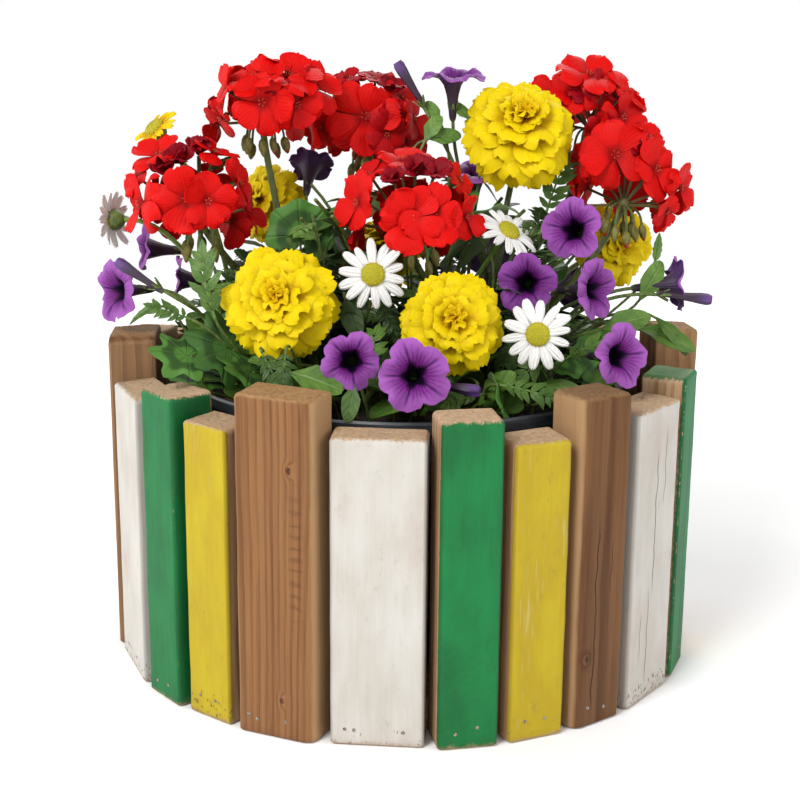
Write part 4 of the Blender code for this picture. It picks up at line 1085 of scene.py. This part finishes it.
def cut_leaf(length, rng, pairs=6, reach=0.36, wide=0.2):
    """Feathered leaf: toothed leaflets in pairs along a rib, with one at the end."""
    parts = []
    sag, sway = rng.uniform(0.1, 0.35), rng.uniform(-0.12, 0.12)

    def laid(grid):
        x = grid[..., 0].copy()
        grid[..., 2] -= sag * x ** 2 / length
        grid[..., 1] += sway * x ** 2 / length
        return grid

    rib = np.zeros((8, 3, 3))
    rib[..., 0] = np.linspace(0, 0.86 * length, 8)[:, None]
    rib[..., 1] = np.linspace(0.022, 0.012, 8)[:, None] * length * np.linspace(-1, 1, 3)
    parts.append((laid(rib), np.zeros(3)))
    for k in range(pairs):
        x = length * (0.12 + 0.7 * k / (pairs - 1))
        size = length * reach * (1 - 0.12 * abs(k - 0.45 * pairs)) * rng.uniform(0.9, 1.1)
        for side in (-1, 1):
            grid, s = toothed(size, size * wide, 3)
            grid[..., 2] += 0.08 * size * np.sin(math.pi * s) - 0.1 * size * s ** 2
            turn = side * math.radians(rng.uniform(34, 62))
            grid = grid @ rotated(side * rng.uniform(-0.5, 0.3), "X").T
            grid = grid @ rotated(turn, "Z").T
            grid[..., 0] += x + rng.uniform(-0.01, 0.01) * length
            parts.append((laid(grid), None))
    grid, _ = toothed(0.3 * length, 0.3 * length * wide * 1.3, 3)
    grid[..., 0] += 0.8 * length
    parts.append((laid(grid), None))
    return parts


def round_leaf(length, rng, deep=0.05):
    """Kidney leaf: waved, scalloped and more or less lobed edge, deep notch at the stalk."""
    rows, columns = 7, 57
    rho = np.linspace(0.03, 1, rows)[:, None]
    angle = np.radians(np.linspace(-163, 163, columns))[None, :]
    phase = rng.uniform(0, 6.3)
    edge = (1 + deep * np.cos(7 * angle) + 0.03 * np.abs(np.cos(14 * angle))
            - 0.06 * (angle / math.pi) ** 2)
    radius = 0.55 * length * rho * (1 + (edge - 1) * rho ** 2)
    grid = np.zeros((rows, columns, 3))
    grid[..., 0] = radius * np.cos(angle) + 0.1 * length
    grid[..., 1] = radius * np.sin(angle)
    grid[..., 2] = length * (0.10 * rho ** 2 + 0.05 * rho ** 2 * np.cos(3 * angle + phase)
                             + 0.022 * rho ** 2 * np.cos(8 * angle) - 0.10 * rho ** 4)
    return [(grid, np.linspace(-1, 1, columns))]


VIEWPOINT = np.array([-3.6, -872.6, 361.5])


def blocks_bloom(base, along, length):
    """Whether a leaf would hang in front of a bloom as seen from the viewpoint."""
    for middle, radius in BLOOM_SPOTS:
        far = np.linalg.norm(middle - VIEWPOINT)
        sight = (middle - VIEWPOINT) / far
        for share in (0.15, 0.55, 1.0):
            point = base + along * length * share - VIEWPOINT
            depth = np.dot(point, sight)
            aside = np.linalg.norm(point - depth * sight) * far / depth
            if depth < far + 6 and aside < radius:
                return True
    return False


# How each kind of leaf is made, and the material of its upper side
LEAVES = {"round": (round_leaf, ZONAL), "cut": (cut_leaf, UPPER), "slim": (slim_leaf, UPPER),
          "lobed": (lambda length, rng: round_leaf(length, rng, 0.2), ZONAL),
          "oval": (oval_leaf, UPPER)}


def add_leaf(skin, kind, base, along, face, length, tone, rng):
    """Adds one leaf, unless it would hang in front of a bloom. Says whether it was added."""
    if blocks_bloom(base, along, length):
        return False
    make, upper = LEAVES[kind]
    put_leaf(skin, make(length, rng), base, along, face, tone, upper)
    return True


def add_stem(skin, start, end, arrive, radius, tone=0.5, sides=8):
    """Stem that leaves its start upright and comes into its end along a direction."""
    start, end = np.asarray(start, float), np.asarray(end, float)
    span = np.linalg.norm(end - start)
    outward = np.array([end[0] - start[0], end[1] - start[1], 0.0]) * 0.12
    path = curve(start, outward + [0, 0, 0.38 * span], np.asarray(arrive) * 0.34 * span, end, 14)
    skin.tube(path, np.linspace(radius * 1.15, radius, 14), STEM, sides, tone)
    return path


def painted_shade_tone(point, rng):
    """Painted shade: greens are darker toward the middle of the planting, where shade falls among
    the leaves.
    """
    out = math.sqrt((point[0] / 150) ** 2 + (point[1] / 130) ** 2 + ((point[2] - 165) / 150) ** 2)
    return min(1.0, max(0.05, 0.95 * out - 0.2 + rng.uniform(-0.16, 0.2)))


def leafy_stem(skin, start, end, kind, size, count, rng):
    """Side shoot with leaves set in a spiral along it."""
    if blocks_bloom(start, end - start, 1.0):
        return
    lean = unit(np.array([end[0] - start[0], end[1] - start[1], 40.0]))
    path = add_stem(skin, start, end, lean, 1.1, 0.5, 6)
    for k in range(count):
        spot = 0.3 + 0.7 * (k + 0.5) / count
        index = spot * (len(path) - 1)
        low = min(int(index), len(path) - 2)
        point = path[low] + (path[low + 1] - path[low]) * (index - low)
        way = unit(path[low + 1] - path[low])
        side = rotated(2.4 * k + rng.uniform(-0.4, 0.4), "Z") @ np.array([1.0, 0, 0])
        along = unit(side + way * rng.uniform(0.2, 0.9) + [0, 0, rng.uniform(-0.2, 0.35)])
        length = size * rng.uniform(0.75, 1.15) * (1 - 0.25 * k / count)
        face = unit(np.array([0, 0, 1.0]) + 0.5 * way + 0.3 * unit(point * [1, 1, 0] + [0, 0.1, 0]))
        add_leaf(skin, kind, point, along, face, length, painted_shade_tone(point + along * 15, rng),
                 rng)


# Leaves that show in front: kind, foot, turn and lift it points to, turn and lift it faces,
# length, tone (a low tone is painted shade, darker deeper in the planting)
SHOWN_LEAVES = (
    ("round", (-63, -22, 249), -159, 84, 0, 28, 36, 0.6),
    ("lobed", (-96, -84, 196), -76, 22, -20, 45, 38, 0.35),
    ("lobed", (-118, -92, 194), -74, 8, -30, 50, 32, 0.6),
    ("lobed", (-84, -96, 186), -40, 10, -10, 50, 30, 0.4),
    ("cut", (-105, -92, 215), -79, 70, -20, 30, 38, 0.55),
    ("cut", (-78, -112, 201), 42, -46, 0, 40, 25, 0.4),
    ("cut", (-65, -112, 202), -9, -57, 0, 40, 23, 0.4),
    ("oval", (-62, -118, 191), 70, -10, 0, 50, 30, 0.6),
    ("oval", (-28, -122, 186), -18, -58, 0, 30, 21, 0.5),
    ("oval", (12, 8, 307), 92, 10, 10, 35, 20, 0.9),
    ("oval", (10, 6, 306), 112, 57, 0, 40, 18, 0.8),
    ("oval", (37, 14, 318), -106, 48, 0, 40, 15, 0.8),
    ("oval", (19, 14, 317), -112, 57, 0, 40, 15, 0.8),
    ("oval", (-35, -66, 222), 34, -54, -10, 30, 24, 0.35),
    ("cut", (83, 0, 263), 117, 73, 0, 40, 36, 0.55),
    ("oval", (113, -50, 203), 83, 22, 20, 40, 28, 0.6),
    ("oval", (138, -24, 216), 102, 59, 30, 35, 26, 0.7),
    ("oval", (138, -30, 199), 71, -5, 40, 45, 33, 0.6),
    ("oval", (147, -28, 206), 60, -32, 40, 45, 28, 0.5),
    ("cut", (84, -90, 202), -66, -34, 10, 40, 28, 0.5),
    ("cut", (50, -112, 184), 71, -5, 10, 40, 31, 0.5),
    ("cut", (39, -115, 179), -71, -5, 0, 40, 21, 0.5),
    ("oval", (34, -114, 180), -74, -16, 0, 45, 20, 0.55),
    ("cut", (84, -104, 174), 77, 23, 20, 50, 25, 0.45),
    ("slim", (-144, -44, 213), -74, -16, -40, 30, 19, 0.6),
    ("slim", (-122, -10, 256), 114, 59, -10, 30, 36, 0.5),
    ("slim", (-116, -8, 289), 98, 29, 0, 30, 18, 0.5),
    ("slim", (148, -12, 237), 143, 73, 0, 40, 18, 0.7),
    ("oval", (-38, 6, 262), 80, 20, 0, 30, 26, 0.35),
    ("cut", (-45, -30, 251), 102, 59, 0, 40, 28, 0.35),
    ("cut", (42, -40, 253), -91, 30, 0, 40, 30, 0.3),
    ("cut", (63, -80, 208), -51, -51, 0, 40, 28, 0.35),
    ("cut", (-15, -70, 222), 51, -51, 0, 40, 28, 0.3),
    ("cut", (-119, -92, 215), -83, 22, -20, 40, 24, 0.5),
)

NODES = {"red_left": "pelargonium_plant_left", "red_right": "pelargonium_plant_right",
         "marigold_left": "marigold_plant_left", "marigold_right": "marigold_plant_right",
         "daisy_left": "daisy_plant_left", "daisy_right": "daisy_plant_right",
         "leafy": "petunia_leafy_plant"}
OWNERS = {"round": ("red_left", "red_right"), "lobed": ("red_left", "red_right"),
          "cut": ("marigold_left", "marigold_right"), "slim": ("daisy_left", "daisy_right"),
          "oval": ("leafy", "leafy")}

# Radius and height of turned shapes
KNOB = ((2.0, -6), (3.2, -3), (4.0, 0), (3.6, 3), (2.0, 4.6))
HANGING_BUD = ((0.3, 1), (0.8, -0.5), (1.0, -3), (0.85, -6), (0.4, -8.5), (0.1, -9.4))
MARIGOLD_CUP = ((1.9, -14), (3.6, -11), (5.2, -5), (5.8, 1), (5.0, 3))
DAISY_CUP = ((1.4, -7.5), (4.2, -5.5), (6.3, -2.5), (6.6, -0.6), (5.0, -0.3))


def make_red_plants(plants, green, rng):
    """Red heads on their stems, each with a knob that its stalks and hanging buds grow from."""
    red = [petal_red(), green[STEM], stamen_pale()]
    for number, (side, *_) in RED_HEADS.items():
        hub, face = make_red_head(number, red)
        name = "red_" + side
        skin = plants[name]
        add_stem(skin, crown(name), hub - 3 * face, face, 2.1, 0.4, 10)
        skin.solid(lathe(KNOB, 12, axes(face), hub), STEM, 0.3)
        for k in range(HANGING_BUDS):
            angle = 2 * math.pi * (k + rng.uniform(-0.3, 0.3)) / HANGING_BUDS
            out = axes(face) @ np.array([math.cos(angle), math.sin(angle), 0.0])
            reach, drop = rng.uniform(7, 13), rng.uniform(8, 15)
            top, bend = hub + out * 2.5, hub + out * reach + [0, 0, 1.0]
            end = hub + out * (reach + 1.5) * [1, 1, 0.4] + [0, 0, -drop]
            skin.tube(curve(top, (bend - top) * 0.9, [0, 0, -drop * 0.5], end, 8), 0.75, STEM, 6,
                      0.45)
            size = rng.uniform(2.3, 3.0)
            tilt = axes(unit([out[0] * -0.25, out[1] * -0.25, 1.0]))
            bud = lathe([(size * r, z) for r, z in HANGING_BUD], 9, tilt, end)
            skin.solid(bud[:, ::-1], BUD, rng.random())


def make_yellow_and_white(plants):
    """Marigolds and daisies on their stems."""
    yellow, white, disc = petal_yellow(), petal_white(), disc_yellow()
    for number, (side, place, turn, lift, radius) in MARIGOLDS.items():
        head, face, name = Skin(), facing(turn, lift), "marigold_" + side
        middle = np.array(place) - 0.3 * radius * face
        own = random.Random(300 + number)
        add_marigold(head, middle + 0.12 * radius * face, axes(face, own.uniform(0, 6)), radius,
                     own)
        head.build(f"yellow_head_{number}", [yellow], f"marigold_head_{number}",
                   "yellow_petals")
        add_stem(plants[name], crown(name), middle - 13 * face, face, 1.8, 0.55, 10)
        plants[name].solid(lathe(MARIGOLD_CUP, 14, axes(face), middle), STEM, 0.6)
    for number, (side, place, turn, lift, radius) in DAISIES.items():
        bloom, centre, face, name = Skin(), Skin(), facing(turn, lift), "daisy_" + side
        middle = np.array(place) - 2.0 * face
        own = random.Random(400 + number)
        turning = axes(face, own.uniform(0, 6))
        add_daisy(bloom, middle, turning, radius, own)
        tall = number == 5        # the yellow one; its solid has no separate centre
        bloom.build(f"daisy_bloom_{number}", [yellow if tall else white], f"daisy_{number}",
                    "daisy_yellow" if tall else "white_petals")
        add_disc(centre, middle + 0.3 * face, turning, DISC_RADIUS)
        centre.build(f"daisy_disc_{number}", [disc], None if tall else f"daisy_{number}_centre",
                     "daisy_yellow")
        add_stem(plants[name], crown(name), middle - 7 * face, face, 1.35, 0.95, 8)
        plants[name].solid(lathe(DAISY_CUP, 16, turning, middle), STEM, 0.65)


def make_petunias(green):
    purple = [petunia_face(), petunia_back(), green[STEM], green[UNDER], green[UPPER]]
    for spray, flowers in PETUNIAS.items():
        skin, own = Skin(), random.Random("petunia " + spray)
        joint = None              # the later flowers branch off the first one's stem
        for place, turn, lift, radius in flowers:
            face = facing(turn, lift)
            turning = axes(face, own.uniform(0, 6))
            middle = np.array(place, float)
            if radius:
                add_petunia(skin, middle, turning, radius, own.uniform(0.45, 1.0), own)
            else:
                add_closed_petunia(skin, middle, turning, own)
            path = add_stem(skin, crown(spray) if joint is None else joint,
                            middle - (PETUNIA_DEPTH - 1) * face, face, 1.05, 0.55, 7)
            if joint is None:
                joint = path[5]
        skin.build(f"petunia_{spray}", purple, f"petunia_spray_{spray}", "purple_petals")


def make_foliage(plants, rng):
    plants["leafy"].tube([crown("leafy"), crown("leafy") + [0, 0, 20]], 2.4, STEM)
    for kind, foot, turn, lift, face_turn, face_lift, length, tone in SHOWN_LEAVES:
        name = OWNERS[kind][foot[0] > 0]
        along, foot = facing(turn, lift), np.array(foot, float)
        add_leaf(plants[name], kind, foot, along, facing(face_turn, face_lift), length, tone,
                 rng)
        start = crown(name) * [0.55, 0.55, 1] + foot * [0.45, 0.45, 0]
        add_stem(plants[name], start, foot + along * 0.5, along * 0.6, 0.8, 0.55, 6)
    # Leafy side shoots: kind, count, length of a leaf, leaves on each
    for kind, count, size, leaves in (("cut", 34, 38, 8), ("oval", 38, 27, 10),
                                      ("slim", 16, 34, 8)):
        for k in range(count):
            angle = 2 * math.pi * (k + rng.random() * 0.7) / count + 0.4
            out = rng.uniform(0.3, 1.0) ** 0.6
            x, y = 126 * out * math.sin(angle), -108 * out * math.cos(angle)
            end = np.array([x, y, 212 + 80 * (1 - out ** 2) + rng.uniform(-20, 16)])
            name = OWNERS[kind][x > 0]
            base = crown(name) * [0.5, 0.5, 1] + end * [0.4, 0.4, 0]
            leafy_stem(plants[name], base, end, kind, size, leaves, rng)
    # Low leaves that hide the soil and lean over the rim of the pot
    for k in range(LOW_LEAVES):
        angle, out = GOLDEN * k, math.sqrt((k + 6) / (LOW_LEAVES + 6))
        side = np.array([math.sin(angle), -math.cos(angle), 0.0])
        foot = side * [128 * out, 116 * out, 0] + [0, 0, 160 + 34 * rng.random()
                                                   + 20 * (1 - out)]
        kind = ("oval", "cut", "oval", "round", "oval", "slim")[k % 6]
        skin = plants[OWNERS[kind][foot[0] > 0]]
        along = unit(side * rng.uniform(0.2, 1.0) + [rng.uniform(-0.7, 0.7),
                                                     rng.uniform(-0.7, 0.7),
                                                     rng.uniform(-0.1, 0.9)])
        face = unit(side * 0.5 + [rng.uniform(-0.3, 0.3), rng.uniform(-0.5, 0.1), 1.0])
        if add_leaf(skin, kind, foot, along, face, rng.uniform(24, 34),
                    painted_shade_tone(foot + along * 20, rng), rng):
            root = foot * [0.8, 0.8, 0] + [0, 0, SOIL_LEVEL]
            skin.tube(curve(root, [0, 0, 8], along * 6, foot, 5), 0.8, STEM, 5, 0.5)
    # Larger round leaves above them
    for k in range(ROUND_LEAVES):
        angle, out = GOLDEN * k, math.sqrt((k + 0.7) / ROUND_LEAVES)
        x, y = 112 * out * math.sin(angle), -92 * out * math.cos(angle)
        foot = np.array([x, y, 206 + 46 * (1 - out ** 2) + rng.uniform(-8, 10)])
        name = OWNERS["round"][x > 0]
        along = unit([x, y, 25 + rng.uniform(-20, 30)])
        if add_leaf(plants[name], "round", foot, along, unit([x * 0.004, y * 0.004, 1.0]),
                    rng.uniform(38, 50), painted_shade_tone(foot + along * 20, rng), rng):
            add_stem(plants[name], crown(name) * [0.6, 0.6, 1] + foot * [0.3, 0.3, 0], foot,
                     along, 1.3, 0.45, 6)


def make_blooms_and_plants():
    green = [leaf_green(), leaf_back(), stem_green(), zonal_green(), bud_green()]
    plants = {name: Skin() for name in NODES}
    rng = random.Random(11)
    make_red_plants(plants, green, rng)
    make_yellow_and_white(plants)
    make_petunias(green)
    make_foliage(plants, rng)
    for name, skin in plants.items():
        skin.build("greens_" + name, green, NODES[name], "leaf_green")


# Liner pot: radius and height of its profile, up the outside, over the rim and down within
POT_PROFILE = ((102, 18.3), (104, 20.3), (130.4, 158.6), (131.4, 160), (133.2, 160.2),
               (134, 161.2), (134, 166.6), (133.2, 167.9), (132.4, 168.0), (131.8, 167.4),
               (131.4, 161), (128.4, 159.4), (101.6, 22.2), (99.6, 20.7))
ROUND_SIDES = 128


def make_pot_and_soil():
    net = surface("pot_dark_plastic", 0.42)
    scuff = net.noise(net.place(), (0.05, 0.05, 0.3), 1.0, 4.0)
    net.start(net.step(scuff, 0.35, 0.8), (44, 48, 52), (78, 84, 90))
    skin = Skin()
    skin.solid(lathe(POT_PROFILE, ROUND_SIDES), 0)
    skin.build("pot_skin", [net.finish(scuff, 0.15)], "liner_pot", "pot_plastic", 30)

    net = surface("soil_crumbs", 0.95)
    place = net.place()
    crumbs = net.noise(place, 0.35, 2.0, 6.0, 0.7)
    net.start(net.step(crumbs, 0.3, 0.75), (34, 24, 16), (84, 62, 42))
    net.coat(net.step(net.noise(place, (0.9, 0.15, 0.4), 5.0), 0.68, 0.78) * 0.6, 132, 104, 70)
    soil_top, reach = 153.0, 126.8
    rng = np.random.default_rng(5)
    turn = np.linspace(0, 2 * math.pi, ROUND_SIDES, endpoint=False)
    rings = list(lathe(((101.0, 21.4), (reach, soil_top - 1)), ROUND_SIDES))
    for share in np.linspace(0.97, 0.02, 40):
        height = soil_top + 4 * (1 - share) + rng.normal(0, 0.8, ROUND_SIDES)
        height = (height + np.roll(height, 1) + np.roll(height, -1)) / 3
        wobble = share * reach + rng.normal(0, 0.4, ROUND_SIDES) * share
        rings.append(np.column_stack([wobble * np.cos(turn), wobble * np.sin(turn), height]))
    skin = Skin()
    skin.solid(rings, 0)
    skin.build("soil_crust", [net.finish(crumbs, 1.2)], "soil", "soil", 60)

    net = surface("base_disc_finish", 0.8)
    net.colour, height = wood(net, net.vector("MULTIPLY", net.place(), (0.3, 1.0, 0.3)), 77,
                              linear(204, 168, 120), linear(160, 116, 74), 5.0)
    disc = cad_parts["base_disc"]
    disc.data.materials.clear()
    disc.data.materials.append(net.finish(height, 0.3))


make_planter()
make_pot_and_soil()
make_blooms_and_plants()

# Camera, floor and light, in metres
FOCAL_PIXELS, PICTURE_PIXELS = 1450.0, 800.0
VIEW_DOWN, VIEW_ROLL = 13.77, 0.48      # degrees
lens = bpy.data.cameras.new("view")
lens.sensor_width = 36.0
lens.lens = FOCAL_PIXELS / PICTURE_PIXELS * lens.sensor_width
bpy.context.scene.camera = add_object("view", lens, (
    Matrix.Translation(VIEWPOINT * MM) @ Matrix.Rotation(math.radians(90 - VIEW_DOWN), 4, "X")
    @ Matrix.Rotation(math.radians(VIEW_ROLL), 4, "Z")))


def make_floor():
    mesh = bpy.data.meshes.new("floor")
    size, sides, level = 1.6, 48, -0.0004
    turns = [2 * math.pi * k / sides for k in range(sides)]
    mesh.from_pydata([(size * math.cos(a), size * math.sin(a), level) for a in turns], [],
                     [range(sides)])
    net = surface("floor_white", 0.9)
    net.set("Base Color", (0.93, 0.93, 0.93))
    mesh.materials.append(net.owner)
    floor = add_object("floor", mesh)


def make_light(name, place, aim, size, power):
    light = bpy.data.lights.new(name, "AREA")
    light.shape, light.size, light.energy = "DISK", size, power
    turn = (Vector(place) - Vector(aim)).to_track_quat("Z", "Y").to_matrix().to_4x4()
    add_object(name, light, Matrix.Translation(place) @ turn)


def make_studio():
    """White round the horizon, dimmer overhead."""
    world = bpy.data.worlds.new("studio")
    net = Net(world, "Background")
    up = net.split(net.node("TexCoord", {}, "Generated"))[2]
    net.set("Strength", net.step(net.math("ABSOLUTE", up), 0.2, 0.5, 1.0, 0.45))
    net.set("Color", (1.0, 1.0, 1.0))
    bpy.context.scene.world = world


make_floor()
make_light("key", (-1.0, -1.4, 1.6), (0, 0, 0.15), 1.0, 42.0)
make_light("fill", (1.4, -1.2, 0.9), (0, 0, 0.15), 1.4, 14.0)
make_light("back", (0.3, 1.6, 1.5), (0, 0, 0.2), 1.2, 18.0)
make_light("side", (-1.7, 0.3, 0.8), (0, 0, 0.25), 1.0, 9.0)
make_studio()
bpy.context.scene.view_settings.view_transform = "Standard"
